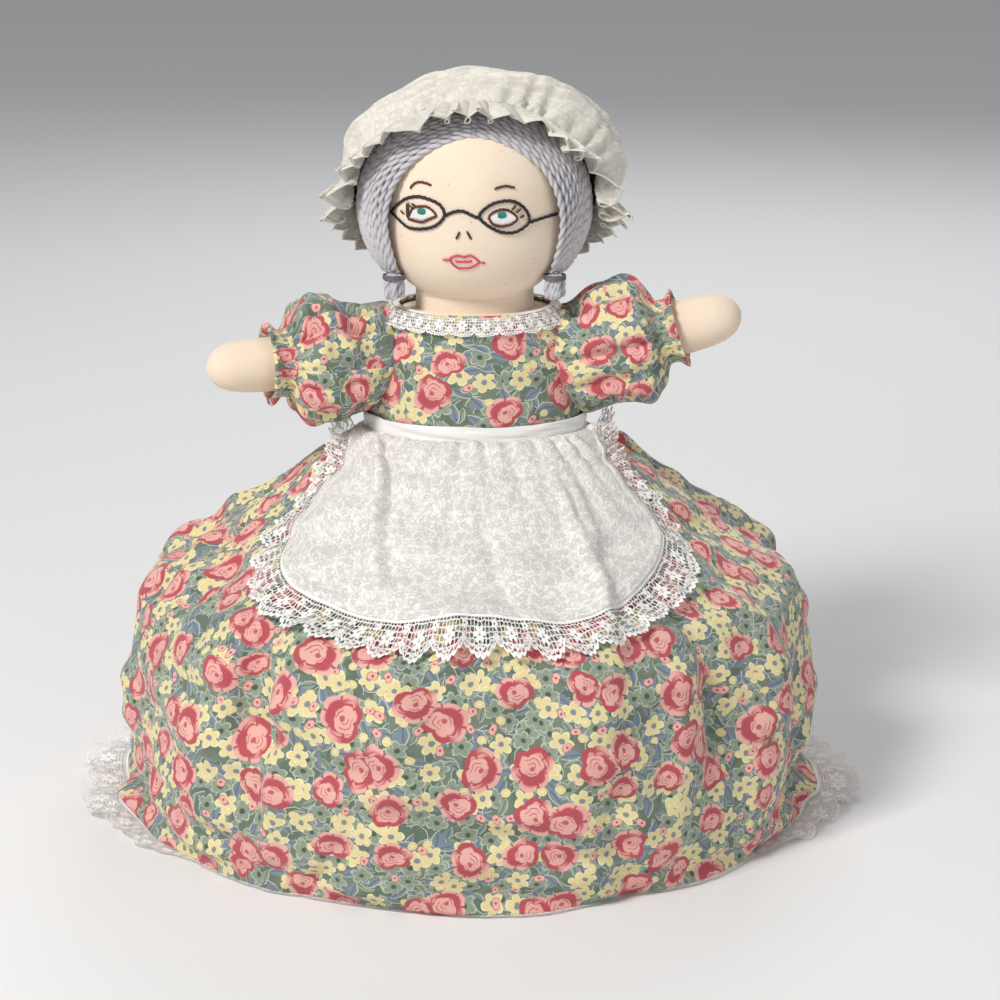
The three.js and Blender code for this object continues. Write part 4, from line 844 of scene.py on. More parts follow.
# embroidered face: lines in millimetres across and up the head's front
oldFace = {
    "leftLens": [(-37.4, 108.3), (-33.9, 112.9), (-30.4, 115.8), (-27.0, 117.0), (-23.7, 117.3),
                 (-20.4, 116.6), (-17.1, 115.6), (-14.6, 114.1), (-13.3, 112.0), (-12.7, 109.6),
                 (-14.4, 107.0), (-16.9, 104.7), (-20.5, 103.3), (-25.5, 102.4), (-30.0, 102.7),
                 (-32.2, 104.3), (-34.5, 106.2), (-37.4, 108.3)],
    "leftTemple": [(-42.2, 108.7), (-39.7, 108.8), (-37.4, 108.3)],
    "bridge": [(-12.7, 109.4), (-10.0, 111.1), (-6.7, 112.0), (-4.0, 111.7), (-1.3, 110.2), (1.9, 108.7)],
    "rightLens": [(2.1, 109.3), (3.6, 111.8), (6.3, 113.9), (9.6, 115.5), (14.5, 116.2), (17.8, 115.8),
                  (20.5, 114.3), (23.0, 111.9), (24.6, 109.0), (25.2, 105.9), (22.7, 103.6), (19.4, 101.8),
                  (15.6, 101.4), (11.2, 102.3), (6.9, 104.8), (4.2, 106.8), (2.1, 109.3)],
    "rightTemple": [(25.3, 105.6), (28.8, 106.5), (33.2, 107.2), (37.8, 107.5)],
    "leftBrow": [(-28.6, 120.4), (-26.7, 122.9), (-24.2, 123.8), (-21.4, 123.6), (-19.0, 122.6)],
    "rightBrow": [(9.3, 121.6), (12.3, 122.4), (14.2, 122.8), (18.3, 121.6)],
    "leftEye": [(-29.7, 106.7), (-28.2, 110.2), (-27.4, 112.0), (-24.3, 113.0), (-21.0, 113.2),
                (-18.8, 112.0), (-16.3, 109.2), (-19.3, 107.8), (-23.2, 105.7), (-26.6, 106.1),
                (-29.7, 106.7)],
    "rightEye": [(6.5, 108.9), (8.2, 111.1), (12.3, 112.5), (15.6, 111.9), (18.3, 109.8), (19.9, 107.5),
                 (16.7, 105.2), (12.3, 104.5), (8.5, 105.6), (6.5, 108.9)],
    "leftIris": (-23.5, 110.7), "rightIris": (12.5, 109.8),
    "lashes": [[(-33.2, 110.0), (-31.3, 108.5)], [(-28.1, 113.8), (-25.9, 112.7)],
               [(17.0, 111.8), (18.9, 113.9)],
               [(18.9, 110.5), (21.3, 112.2)], [(20.5, 108.1), (22.8, 109.0)]],
    "strayStitch": [[(-29.9, 114.3), (-29.9, 106.9)], [(-29.2, 114.5), (-29.4, 107.2)],
                    [(-28.9, 113.2), (-27.0, 111.6)]],
    "nose": [[(-6.2, 102.6), (-8.0, 98.8)], [(-3.2, 103.0), (-1.0, 98.8)]],
    "lips": [(-11.2, 89.4), (-9.6, 90.8), (-6.8, 91.6), (-4.4, 90.6), (-1.6, 91.9), (0.8, 90.2),
             (2.7, 88.3), (1.1, 87.1), (-1.9, 85.5), (-6.9, 85.2), (-9.1, 86.8), (-11.2, 89.4)],
    "lipCorners": [[(-14.3, 89.0), (-11.2, 89.4)], [(2.7, 88.3), (5.3, 87.8)]],
    "lipLine": [(-8.4, 88.9), (-6.9, 88.3), (-4.7, 88.7), (-2.5, 88.4), (-0.9, 89.0)],
    "thread": 1.3, "stitch": 2.4,
}
girlFace = {
    "leftEye": [(-22.0, 106.0), (-19.0, 109.6), (-15.0, 110.6), (-11.0, 109.2), (-8.6, 106.2),
                (-12.0, 103.8), (-17.0, 103.6), (-22.0, 106.0)],
    "rightEye": [(8.6, 106.2), (11.0, 109.2), (15.0, 110.6), (19.0, 109.6), (22.0, 106.0), (17.0, 103.6),
                 (12.0, 103.8), (8.6, 106.2)],
    "leftIris": (-15.2, 107.0), "rightIris": (15.2, 107.0),
    "leftBrow": [(-22.0, 116.0), (-16.0, 118.2), (-9.0, 116.6)],
    "rightBrow": [(9.0, 116.6), (16.0, 118.2), (22.0, 116.0)],
    "lashes": [[(-22.5, 106.5), (-25.0, 108.6)], [(-20.4, 109.0), (-22.4, 111.2)],
               [(22.5, 106.5), (25.0, 108.6)], [(20.4, 109.0), (22.4, 111.2)]],
    "nose": [[(-1.6, 99.6), (0.0, 98.8)], [(0.0, 98.8), (1.6, 99.6)]],
    "lips": [(-7.0, 90.6), (-3.4, 92.8), (0.0, 91.6), (3.4, 92.8), (7.0, 90.6), (3.2, 87.6), (-3.2, 87.6),
             (-7.0, 90.6)],
    "lipCorners": [], "lipLine": [(-5.0, 90.4), (0.0, 90.0), (5.0, 90.4)], "strayStitch": [],
    "thread": 1.0, "stitch": 2.4,
}


def alongLine(line, stitch):
    # Stem stitch: even steps along a line, each a little longer than its step and slanting across it
    line = np.array(line, float)
    lengths = np.concatenate([[0], np.cumsum(np.linalg.norm(np.diff(line, axis=0), axis=1))])
    count = max(int(round(lengths[-1] / stitch)), 1)
    fine = np.linspace(0, lengths[-1], 8 * count + 1)
    smooth = np.stack([np.interp(fine, lengths, line[:, k]) for k in (0, 1)], -1)
    padded = np.concatenate([smooth[:1]] * 3 + [smooth] + [smooth[-1:]] * 3)
    smooth = sum(padded[k:len(padded) - 6 + k] for k in range(7)) / 7
    ends = np.stack([np.interp(np.arange(count + 1) / count, np.linspace(0, 1, len(smooth)), smooth[:, k])
                     for k in (0, 1)], -1)
    start, end = ends[:-1], ends[1:]
    ahead = unit(end - start)
    slant = np.stack([-ahead[:, 1], ahead[:, 0]], -1) * 0.22
    return np.stack([start - ahead * stitch * 0.22 - slant, end + ahead * stitch * 0.22 + slant], 1)


def fillBetween(outline, count):
    # Upright satin stitches across a closed outline, from its lower to its upper edge at each place along
    # it
    outline = np.array(outline, float)
    xs = np.linspace(outline[:, 0].min() + 0.5, outline[:, 0].max() - 0.5, count)
    rows = []
    for x in xs:
        hits = []
        for a, b in zip(outline[:-1], outline[1:]):
            if (a[0] - x) * (b[0] - x) < 0:
                hits.append(a[1] + (b[1] - a[1]) * (x - a[0]) / (b[0] - a[0]))
        if len(hits) >= 2:
            rows.append([(x, min(hits) + 0.3), (x + 0.1, max(hits) - 0.3)])
    return np.array(rows)


def discOfStitches(centre, wide, high, count):
    # Upright stitches across an oval, each as long as the oval is high there
    xs = np.linspace(-wide, wide, count + 2)[1:-1]
    reach = high * np.sqrt(1 - (xs / wide) ** 2)
    return np.stack([np.stack([centre[0] + xs, centre[1] - reach], -1),
                     np.stack([centre[0] + xs + 0.15, centre[1] + reach], -1)], 1)


def sew(name, half, segments, width, height, proud, finish, bodyName):
    # Stitches laid on the head's front, from places seen from the front
    segments = np.asarray(segments, float)
    points, normals = onFace(segments[..., 0], segments[..., 1], np.full(segments.shape[:2], proud))
    whole = half(points)
    turned = half(normals) - half(np.zeros(3))
    made = stitches(name, whole, unit(turned.mean(1)), width, height, finishes[finish])
    finishPiece(made, bodyName)


def makeFace(prefix, face, half, bodyName, frames):
    # The stitched lines, eyes and lips of one face
    thread, stitch = face["thread"], face["stitch"]
    if frames:
        lines = np.concatenate([alongLine(face[k], stitch) for k in frames])
        sew(prefix + "_glasses_stitches", half, lines, thread * 1.15, 1.0, 0.25, "blackThread", bodyName)
    lines = [alongLine(face[k], 1.7) for k in ("leftEye", "rightEye")] + [alongLine(face[k], 1.9)
        for k in ("leftBrow", "rightBrow")]
    lines += [np.array([mark]) for mark in face["lashes"] + face["nose"]]
    sew(prefix + "_brown_stitches", half, np.concatenate(lines), thread * 0.85, 0.7, 0.3, "brownThread",
        bodyName)
    sew(prefix + "_eye_whites", half,
        np.concatenate([fillBetween(face[k], 22) for k in ("leftEye", "rightEye")]), 0.75, 0.4, 0.1,
        "whiteThread", bodyName)
    sew(prefix + "_irises", half, np.concatenate([discOfStitches(face[k], 2.1, 1.7, 7)
                                                  for k in ("leftIris", "rightIris")]), 0.75, 0.5, 0.4,
                                                  "tealThread", bodyName)
    pink = [alongLine(face["lips"], 1.6), alongLine(face["lipLine"], 1.6)] + [np.array([mark])
        for mark in face["lipCorners"]]
    sew(prefix + "_lip_stitches", half, np.concatenate(pink), thread * 0.8, 0.7, 0.3, "pinkThread",
        bodyName)
    if face["strayStitch"]:
        sew(prefix + "_green_stitches", half, np.array(face["strayStitch"]), 0.8, 0.7, 0.65, "greenThread",
            bodyName)


makeFace("upper", oldFace, upperHalf, "upper_head",
         ["leftLens", "rightLens", "leftTemple", "rightTemple", "bridge"])
makeFace("lower", girlFace, lowerHalf, "lower_head", [])
print("stage: faces")

# yarn hair
hair = {"wide": 55.0, "deep": 44.0, "high": 50.0, "back": 3.0, "centre": 108.0, "strand": 1.32, "count": 40,
        "steps": 92,
        "faceWide": 40.5, "facePeak": 145.0, "faceMiddle": 104.0, "tie": (37.5, -15.5, 80.5)}


def onHair(direction, inset=0.0):
    # The hair's oval in a direction, so far inside its outside
    half = np.array([hair["wide"], hair["deep"], hair["high"]]) - inset
    return unit(direction) * half + np.array([0.0, hair["back"], hair["centre"]])


def hairDirection(point):
    # The direction in which the hair's oval has this point
    return unit((point - np.array([0.0, hair["back"], hair["centre"]]))
                / np.array([hair["wide"], hair["deep"], hair["high"]]))


def hairPaths(side):
    # Strands from the parting to the tie: between the edge of the face and the nape, by share of the way
    # back
    s = np.linspace(0, 1, hair["steps"])
    turn = np.radians(90 - 138 * s)
    frontX = hair["faceWide"] * np.cos(turn) + 1.2
    frontZ = np.where(turn > 0, hair["faceMiddle"] + (hair["facePeak"] - hair["faceMiddle"]) * np.sin(turn),
                      hair["faceMiddle"] + hair["faceWide"] * np.sin(turn))
    inside = 1 - (frontX / hair["wide"]) ** 2 - ((frontZ - hair["centre"]) / hair["high"]) ** 2
    frontY = hair["back"] - hair["deep"] * np.sqrt(np.clip(inside, 0.02, 1))
    front = hairDirection(np.stack([frontX, frontY, frontZ], -1))
    tie = hairDirection(np.array(hair["tie"]))
    front = unit(front + (tie - front) * smoothstep(s, 0.72, 1.0)[:, None])
    lift = np.radians(155 - 150 * s)
    nape = unit(np.stack([0.75 * np.sin(np.pi * s * 0.55), np.cos(lift * 0.35) * 0.9, 0.12 - 0.72 * s], -1))
    nape = unit(nape + (tie - nape) * smoothstep(s, 0.35, 1.0)[:, None])
    share = (np.arange(hair["count"]) / (hair["count"] - 1))[:, None, None]
    angle = np.radians(-42 + 134 * share[..., 0, 0])
    parting = np.stack([np.full_like(angle, -0.012), np.sin(angle), np.cos(angle)], -1)
    between = front[None] * (1 - share) + nape[None] * share
    arc = np.sin(np.pi * share) * np.array([0.9, 0.25, 0.35]) * (np.sin(np.pi * s) ** 0.8)[None, :, None]
    paths = unit(between + arc * 0.8)
    pull = (1 - smoothstep(s, 0.0, 0.4))[None, :, None]
    paths = unit(paths * (1 - pull) + parting[:, None] * pull)
    paths = paths * np.array([side, 1, 1])
    return paths, s


def makeHair(name, half, finish):
    # On each side, plied strands on the hair's oval and a thin backing under them
    for side, label in ((-1, "left"), (1, "right")):
        directions, s = hairPaths(side)
        rng = np.random.default_rng(21 + side)
        depth = hair["strand"] + 0.15 + rng.uniform(0, 0.5,
                                                    (hair["count"], 1, 1)) * np.sin(np.pi
                                                        * s)[None, :, None]
        points = onHair(directions, depth)
        normals = directions / np.array([hair["wide"], hair["deep"], hair["high"]])
        radius = np.full(points.shape[:2], hair["strand"]) * (1 - 0.3 * smoothstep(s, 0.85, 1.0))[None]
        whole = half(points)
        turned = half(normals) - half(np.zeros(3))
        yarn = strands(f"{name}_yarn_{label}", whole, turned, radius, finishes[finish], 8, 2, 5.2, 0.26,
                       closedEnds(len(s)))
        finishPiece(yarn, name + "_head", stands=[name + "_hair"] if side < 0 else ())
        under = half(onHair(directions, 2.6))
        backing = grid(f"{name}_yarn_backing_{label}", under, finishes[finish],
                       np.stack(np.broadcast_arrays(
            s[None, :] * 0.1, np.arange(hair["count"])[:, None] * 0.0025), -1), flip=side < 0)
        finishPiece(thicken(backing, 0.6, 0), name + "_head")


makeHair("upper", upperHalf, "greyYarn")
makeHair("lower", lowerHalf, "brownYarn")
print("stage: hair")

# Bodice: a tube on the torso with soft creases towards the arms and the waist
bodice = {"low": 3.6, "high": 60.6, "proud": 2.3, "rows": 60, "cols": 180, "cloth": 0.8}


def onBodice(angle, height, proud):
    # The torso's oval at a height, pushed out by so much
    wide, deep = torsoHalf(height)
    return np.stack([(wide + proud) * np.cos(angle), (deep + proud) * np.sin(angle), height + 0 * angle],
                    -1)


# The skirt: how far out it has come by each height, smoothed; then gathers, folds and the flare at its hem
skirt = {
    "stations": np.array([[1, 0, 0], [0.97, 0.09, 0.11], [0.93, 0.18, 0.22], [0.81, 0.42, 0.5],
                          [0.7, 0.68, 0.77],
                          [0.59, 0.91, 0.93], [0.41, 0.98, 0.98], [0.25, 1, 1], [0.1, 0.99, 0.99],
                          [0, 0.955, 0.955]]),
    "high": 182.2, "waistWide": 52.8, "waistDeep": 34.8, "right": 163.0, "left": 171.0, "front": 156.0,
    "back": 146.0,
    "folds": 5.0, "backFuller": 0.4, "gathers": 46, "cols": 400, "rows": 116, "cloth": 0.7,
    # main folds: degrees at the top, turn in degrees over a whole fall, half width, fall at top and foot,
    # depth in mm
    "pleats": [(-141, -4, 9, 0.5, 0.97, 5), (-124.5, -6, 5.5, 0.5, 0.92, -6),
               (-115, -8, 6.5, 0.5, 0.95, 3.5),
               (-74, 20, 6.5, 0.52, 0.92, 2.5), (-64, 28, 5.5, 0.52, 0.86, -3.5),
               (-38, -22, 5.5, 0.52, 0.86, -4.5),
               (-28, -16, 7, 0.5, 0.95, 3.5), (-12, 40, 5.5, 0.32, 0.6, -4)],
    # lesser ones, in the same order
    "creases": [(-119, -6, 2.6, 0.42, 0.95, 2.2), (-127, -6, 2.2, 0.4, 0.8, -1.8),
                (-156, 24, 2.8, 0.36, 0.7, -2.4),
                (-149, -8, 3.2, 0.42, 0.78, 2.0), (-144, 16, 2.4, 0.46, 0.66, -2.0),
                (-170, 10, 3.0, 0.2, 0.7, -2.2),
                (-20, 40, 2.4, 0.26, 0.46, -2.6), (-26, 10, 2.6, 0.16, 0.5, 1.8),
                (-10, 20, 2.6, 0.4, 0.62, 2.0),
                (-91, 2, 3.4, 0.48, 0.72, -1.5), (-100, -8, 4.5, 0.46, 0.9, 1.4),
                (-52, -10, 3.4, 0.44, 0.9, 1.8),
                (-44, -14, 2.4, 0.5, 0.88, -1.6), (-20, 8, 3.2, 0.55, 0.92, -2.0),
                (-33, 6, 3.0, 0.4, 0.75, 1.5),
                (10, -6, 3.4, 0.08, 0.8, -2.2), (22, -4, 4.0, 0.08, 0.9, 2.0),
                (36, 6, 3.0, 0.2, 0.85, -1.8),
                (48, 5, 3.4, 0.08, 0.8, -2.2), (70, -5, 3.6, 0.1, 0.9, 2.0), (84, -5, 3.4, 0.08, 0.9, -2.4),
                (103, 4, 4.0, 0.1, 0.85, 2.0), (120, 6, 3.4, 0.08, 0.9, -2.2),
                (140, -5, 4.0, 0.1, 0.85, 2.0),
                (158, 5, 3.4, 0.08, 0.9, -2.2), (172, -6, 3.0, 0.2, 0.8, 1.8)],
}


def fallShares(fall):
    # A smooth curve through the stations, each step eased by the root of its length
    stations = skirt["stations"]
    whole = np.concatenate([[2 * stations[0] - stations[1]], stations, [2 * stations[-1] - stations[-2]]])
    spread = np.clip(fall, 0, 1) * (len(stations) - 1)
    k = np.minimum(spread.astype(int), len(stations) - 2)
    w = (spread - k)[..., None]
    a, b, c, d = [whole[k + j] for j in range(4)]
    e, f, g = [np.linalg.norm(q - p, axis=-1, keepdims=True) ** 0.5 for p, q in ((a, b), (b, c), (c, d))]
    m = ((b - a) / e - (c - a) / (e + f) + (c - b) / f) * f
    n = ((c - b) / f - (d - b) / (f + g) + (d - c) / g) * f
    return b + m * w + (3 * (c - b) - 2 * m - n) * w ** 2 + (2 * (b - c) + m + n) * w ** 3


def turnApart(angle, centre):
    # The angle from centre, between minus a half turn and a half turn
    return (angle - centre + math.pi) % tau - math.pi


def pleats(angle, fall, folds):
    # Each fold: its depth times a bell across it, eased in and out along its fall
    total = 0 * angle * fall
    for centre, lean, half, low, high, depth in folds:
        middle = math.radians(centre) + math.radians(lean) * (fall - low)
        away = turnApart(angle, middle) / math.radians(half)
        along = smoothstep(fall, low, low + 0.16) * (1 - smoothstep(fall, high - 0.2, high))
        total = total + depth * np.exp(-away * away) * along
    return total


def hemShown(angle):
    # How far the hem comes out from under the skirt: wholly at the sides and back, not at all in front
    return 1 - np.minimum(1, 1.6 * np.maximum(0, -np.sin(angle))) ** 2


def hemSpread(angle, fall):
    # A flare at the hem and a pinch above it, where the hem shows
    return hemShown(angle) * (8.0 * smoothstep(fall, 0.88, 1.0)
                              - 5.0 * np.exp(-((fall - 0.88) / 0.07) ** 2))


def skirtBase(angle, fall, plain=False):
    # Waist plus the rest of the way to the widest, by the curve's shares, with two trains of soft waves
    # and the folds
    angle, fall = np.broadcast_arrays(angle, fall)
    shares = fallShares(fall)
    cos, sin = np.cos(angle), np.sin(angle)
    even = skirt["right"] + (np.where(cos > 0, skirt["right"], skirt["left"]) - skirt["right"]) * fall
    deep = skirt["back"] + (np.where(sin > 0, skirt["back"], skirt["front"]) - skirt["back"]) * fall
    calm = 1 - 0.7 * np.maximum(0, -sin) * (1 - fall)
    deeper = 1 + skirt["backFuller"] * np.maximum(0, sin)
    fold = skirt["folds"] * deeper * np.sin(math.pi * fall) * calm * (
        0.65 * np.cos(11 * angle + 0.6) + 0.35 * np.cos(7 * angle + 2.1))
    if not plain:
        fold = fold + pleats(angle, fall, skirt["pleats"]) + hemSpread(angle, fall)
    x = (skirt["waistWide"] + (even - skirt["waistWide"]) * shares[..., 1] + fold) * cos
    y = (skirt["waistDeep"] + (deep - skirt["waistDeep"]) * shares[..., 2] + fold) * sin
    return np.stack([x, y, skirt["high"] * shares[..., 0]], -1)


def skirtNormal(angle, fall, plain=False):
    # Square to the surface, from small steps down it and along it
    step = 0.004
    down = skirtBase(angle, np.minimum(fall + step, 1), plain) - skirtBase(angle,
        np.maximum(fall - step, 0), plain)
    along = skirtBase(angle + step, fall, plain) - skirtBase(angle - step, fall, plain)
    return unit(-np.cross(along, down))


def gathers(angle, fall, count, seed):
    # Pleats drawn in at a seam: sharp waves of uneven width that merge in pairs as they fall
    bend = angle + 0.05 * waves(angle, fall, seed, 5, 3, 9)
    size = 0.7 + 0.45 * waves(angle, 0 * fall, seed + 1, 5, 2, 8)
    ridge = 2 * np.abs(np.cos(bend * count / 2)) ** 1.5 - 1
    half = 2 * np.abs(np.cos(bend * count / 4 + 0.7)) ** 1.5 - 1
    return size * (1.1 * ridge * np.exp(-fall / 0.06) * np.minimum(1, 0.35 + fall / 0.03)
                   + 1.9 * half * np.minimum(1, fall / 0.08) * np.exp(-np.maximum(fall - 0.05, 0) / 0.16))


def crushed(angle, fall):
    # Short creases by chance all over, where the cloth was folded away
    rng = np.random.default_rng(37)
    marks = [(rng.uniform(-180, 180), rng.uniform(-60, 60), rng.uniform(2.0, 4.4), low,
              low + rng.uniform(0.32, 0.5),
              rng.uniform(-4.6, 3.2)) for low in rng.uniform(0.16, 0.8, 64)]
    rumple = 1.5 * waves(angle, fall * 6, 8, 12, 4, 16) * np.minimum(1, fall * 3)
    return pleats(angle, fall, marks) + rumple


def hemRipples(angle, fall):
    # The hem's own ripples where it shows: a sharper pinch, then uneven waves that grow to the edge
    grown = smoothstep(fall, 0.9, 1.0)
    return hemShown(angle) * (3.2 * waves(angle, 0 * fall, 31, 6, 9, 22) * grown
                              - 2.6 * np.exp(-((fall - 0.905) / 0.026) ** 2))


def onSkirt(angle, fall, proud, full=True):
    # The dressed skirt's surface, so far proud of it; without its finest gathers where not full
    push = proud + 2.4 * pleats(angle, fall, skirt["creases"]) + crushed(angle, fall) + hemRipples(angle,
        fall)
    if full:
        push = push + gathers(angle, fall, skirt["gathers"], 3)
    return skirtBase(angle, fall) + skirtNormal(angle, fall) * push[..., None]


def onFloor(points):
    # From the skirt's frame to the shared frame
    return points + np.array([doll["axisX"], doll["axisY"], 0.0])


def evenFalls(angle, rows, low=0.0, high=1.0):
    # Falls at even lengths down the cloth at one angle
    fine = np.linspace(low, high, 400)
    line = skirtBase(np.full(400, angle), fine)
    lengths = np.concatenate([[0], np.cumsum(np.linalg.norm(np.diff(line, axis=0), axis=1))])
    return np.interp(np.linspace(0, lengths[-1], rows), lengths, fine)


def clothUv(points, wide, turns=1.0):
    # u round the piece, v down it by length, in metres
    rows, cols = points.shape[:2]
    v = rowLengths(points).mean(1) * mm
    u = np.linspace(0, wide * turns, cols + 1)
    return np.stack(np.broadcast_arrays(u[None], v[:, None]), -1)


def makeSkirt():
    # The dressed surface from waist to floor, sewn over the bodice above and turned under at the hem
    angle = around(skirt["cols"], math.pi / 2)
    fall = evenFalls(-math.pi / 2, skirt["rows"])[:, None]
    points = onSkirt(angle, fall, 0.0)
    points[..., 2] = np.clip(points[..., 2], 0.8, skirt["high"] + 0.2)
    lift = hemShown(angle) * 2.6 * (1 + waves(angle, 0 * fall, 31, 6, 9, 22))
    points[..., 2] += np.maximum(lift, 0) * smoothstep(fall, 0.95, 1.0)
    edge = points[-1]
    inward = unit(edge * np.array([1, 1, 0]))
    turned = np.stack([edge * [1, 1, 0] - inward * step
                       + np.array([0, 0, 1.0]) * np.maximum(edge[:, 2:] * (1 - step / 14), 0.5)
                       for step in (0.8, 3.0, 8.0, 14.0)])
    sewn = onBodice(angle, 4.2 + 0 * angle,
                    2.8 + 0.3 * gathers(angle, 0.02, skirt["gathers"], 3)) + np.array([0, 0, doll["waist"]])
    points = np.concatenate([sewn, points, turned])
    made = grid("rose_calico_skirt", onFloor(points), finishes["calico"], clothUv(points, 1.0), ring=True,
                flip=True)
    thicken(made, skirt["cloth"], -1)
    return finishPiece(made, "body", stands=["upper_skirt"])


def makeLining():
    # The girl's skirt inside: the same fall, well inside the folds, from its own waist to the turned hem
    angle = around(240, -math.pi / 2)
    fall = evenFalls(-math.pi / 2, 72, 0.045, 0.955)[:, None]
    front = np.maximum(0, -np.sin(angle))
    deeper = 1 + skirt["backFuller"] * np.maximum(0, np.sin(angle))
    inset = 4.4 + 9.5 * deeper * np.minimum(fall / 0.24, 1) + 12.0 * front * np.minimum(fall, 1 - fall)
    ridge = 0.8 * np.cos(angle * 34 + 1.5 * np.sin(3 * angle)) * np.exp(-fall / 0.3) + 0.9 * waves(angle,
        fall * 5, 55, 8, 5, 17) * fall
    normal = skirtNormal(angle, fall, True)
    points = skirtBase(angle, fall, True) + normal * (ridge - inset)[..., None]
    collar = []
    for proud, height in ((0.9, 176.2), (2.6, 176.8)):
        collar.append(np.stack([(48 + proud) * np.cos(angle), (30 + proud) * np.sin(angle),
                                0 * angle + height], -1))
    edge = points[-1:]
    inward = unit(edge * np.array([1, 1, 0]))
    hem = [edge - inward * step - np.array([0, 0, 1.0]) * drop
           for step, drop in ((2.0, 2.6), (6.0, 5.0), (10.0, 6.4))]
    hem = [np.concatenate([row[..., :2], np.maximum(row[..., 2:], 2.4)], -1) for row in hem]
    points = np.concatenate(collar + [points] + hem)
    made = grid("ditsy_lining_skirt", onFloor(points), finishes["ditsy"], clothUv(points, 0.85), ring=True,
                flip=True)
    thicken(made, 0.6, -1)
    return finishPiece(made, "body", stands=["lower_skirt"])


hemLace = {"count": 720, "rows": 14, "deep": 0.0205, "long": 1.32, "hidden": 3.0, "shown": 20.0}


def makeHemLace():
    # The lace sewn to the hem: out and down to the floor in ruffles, tucked under in front
    angle = around(hemLace["count"], -math.pi / 2)
    share = np.linspace(0, 1, hemLace["rows"])[:, None]
    edge = onSkirt(angle, np.ones((1, 1)), 0.0)[0]
    shown = hemShown(angle)
    width = hemLace["hidden"] + hemLace["shown"] * shown
    inward = unit(edge * np.array([1, 1, 0]))
    ripple = (np.cos(angle * 46 + 2.2 * np.sin(angle * 5))
              * (0.6 + 0.5 * waves(angle, 0 * angle, 12, 5, 4, 12)))
    reach = -1.0 + share * width
    lift = 2.4 * shown * (1 + waves(angle, 0 * angle, 31, 6, 9, 22)) * (1 - share) ** 1.5 + 1.2
    height = lift + ripple * 4.0 * share * shown + 3.6 * share * shown
    sway = ripple * 1.8 * share
    side = np.stack([-inward[:, 1], inward[:, 0], 0 * inward[:, 0]], -1)
    points = (edge[None] * np.array([1, 1, 0]) + inward[None] * reach[..., None]
              + side[None] * sway[..., None])
    points[..., 2] = np.maximum(height, 0.35)
    made = grid("hem_lace_ruffle", onFloor(points), finishes["hemLace"], stripUv(share, hemLace), ring=True,
                flip=True)
    return finishPiece(made, "body", stands=["hem_lace"])


skirtPiece = makeSkirt()
liningPiece = makeLining()
hemLacePiece = makeHemLace()
print("stage: skirts and hem lace")


def makeBodice(name, half, finish, stands, seed):
    # The torso's oval pushed out by waist tucks, side creases and soft lumps, its top edge turned in
    angle = around(bodice["cols"], math.pi / 2)
    height = np.linspace(bodice["low"], bodice["high"], bodice["rows"])[:, None]
    tuck = (0.55 * (2 * np.abs(np.cos(15 * angle + waves(angle, 0 * angle, seed, 4, 2, 6))) - 1)
            * np.exp(-(height - bodice["low"]) / 9))
    side = np.exp(-((np.abs(np.cos(angle)) - 1) / 0.25) ** 2)
    crease = 0.7 * np.cos(height * 0.42 + 2.0 * np.sin(angle * 2)) * side * smoothstep(height, 8,
        16) * (1 - smoothstep(height, 50, 60))
    lumps = 0.5 * waves(angle, height / 12, seed + 3, 8, 1, 5)
    points = onBodice(angle, height, bodice["proud"] + tuck + crease + lumps)
    turned = onBodice(angle, np.array([[bodice["high"] + 0.7], [bodice["high"] + 0.4]]),
                      np.array([[bodice["proud"] - 0.4], [bodice["proud"] - 1.6]]))
    points = np.concatenate([points, turned])
    made = grid(name, half(points), finishes[finish], clothUv(points, 0.27), ring=True)
    thicken(made, bodice["cloth"], -1)
    return finishPiece(made, "body", stands=stands)


makeBodice("rose_calico_bodice", upperHalf, "calico", ["upper_bodice"], 41)
makeBodice("ditsy_bodice", lowerHalf, "ditsy", ["lower_bodice"], 61)

# Sleeves: from an oval armhole on the bodice through rings about the arm to the frilled cuff
sleeve = {
    "armholeHigh": 22.5, "armholeDeep": 19.0, "armholeAt": 35.5, "cols": 168, "rows": 96,
    # along the arm, radius, and the same for the smaller sleeve
    "rings": np.array([[13.0, 25.0, 20.0], [20.0, 27.2, 20.8], [27.0, 28.0, 21.0], [33.0, 27.0, 20.6],
                       [37.5, 23.2, 19.0],
                       [40.2, 18.2, 16.4], [41.8, 15.4, 15.2], [43.5, 14.9, 14.9], [45.4, 15.0, 15.0],
                       [46.8, 15.5, 15.5],
                       [48.6, 16.8, 16.6], [50.2, 17.9, 17.4], [50.6, 17.4, 17.0], [48.6, 15.6, 15.4],
                       [46.0, 14.0, 14.0],
                       [43.5, 13.6, 13.6]]),
}


def throughRings(rings, share):
    # A smooth curve through rows of any shape, at shares of the way from the first to the last
    whole = np.concatenate([rings[:1] * 2 - rings[1:2], rings, rings[-1:] * 2 - rings[-2:-1]])
    spread = share * (len(rings) - 1)
    k = np.minimum(spread.astype(int), len(rings) - 2)
    w = (spread - k).reshape((-1,) + (1,) * (rings.ndim - 1))
    a, b, c, d = [whole[k + j] for j in range(4)]
    return b + 0.5 * w * (c - a + w * (2 * a - 5 * b + 4 * c - d + w * (3 * (b - c) + d - a)))


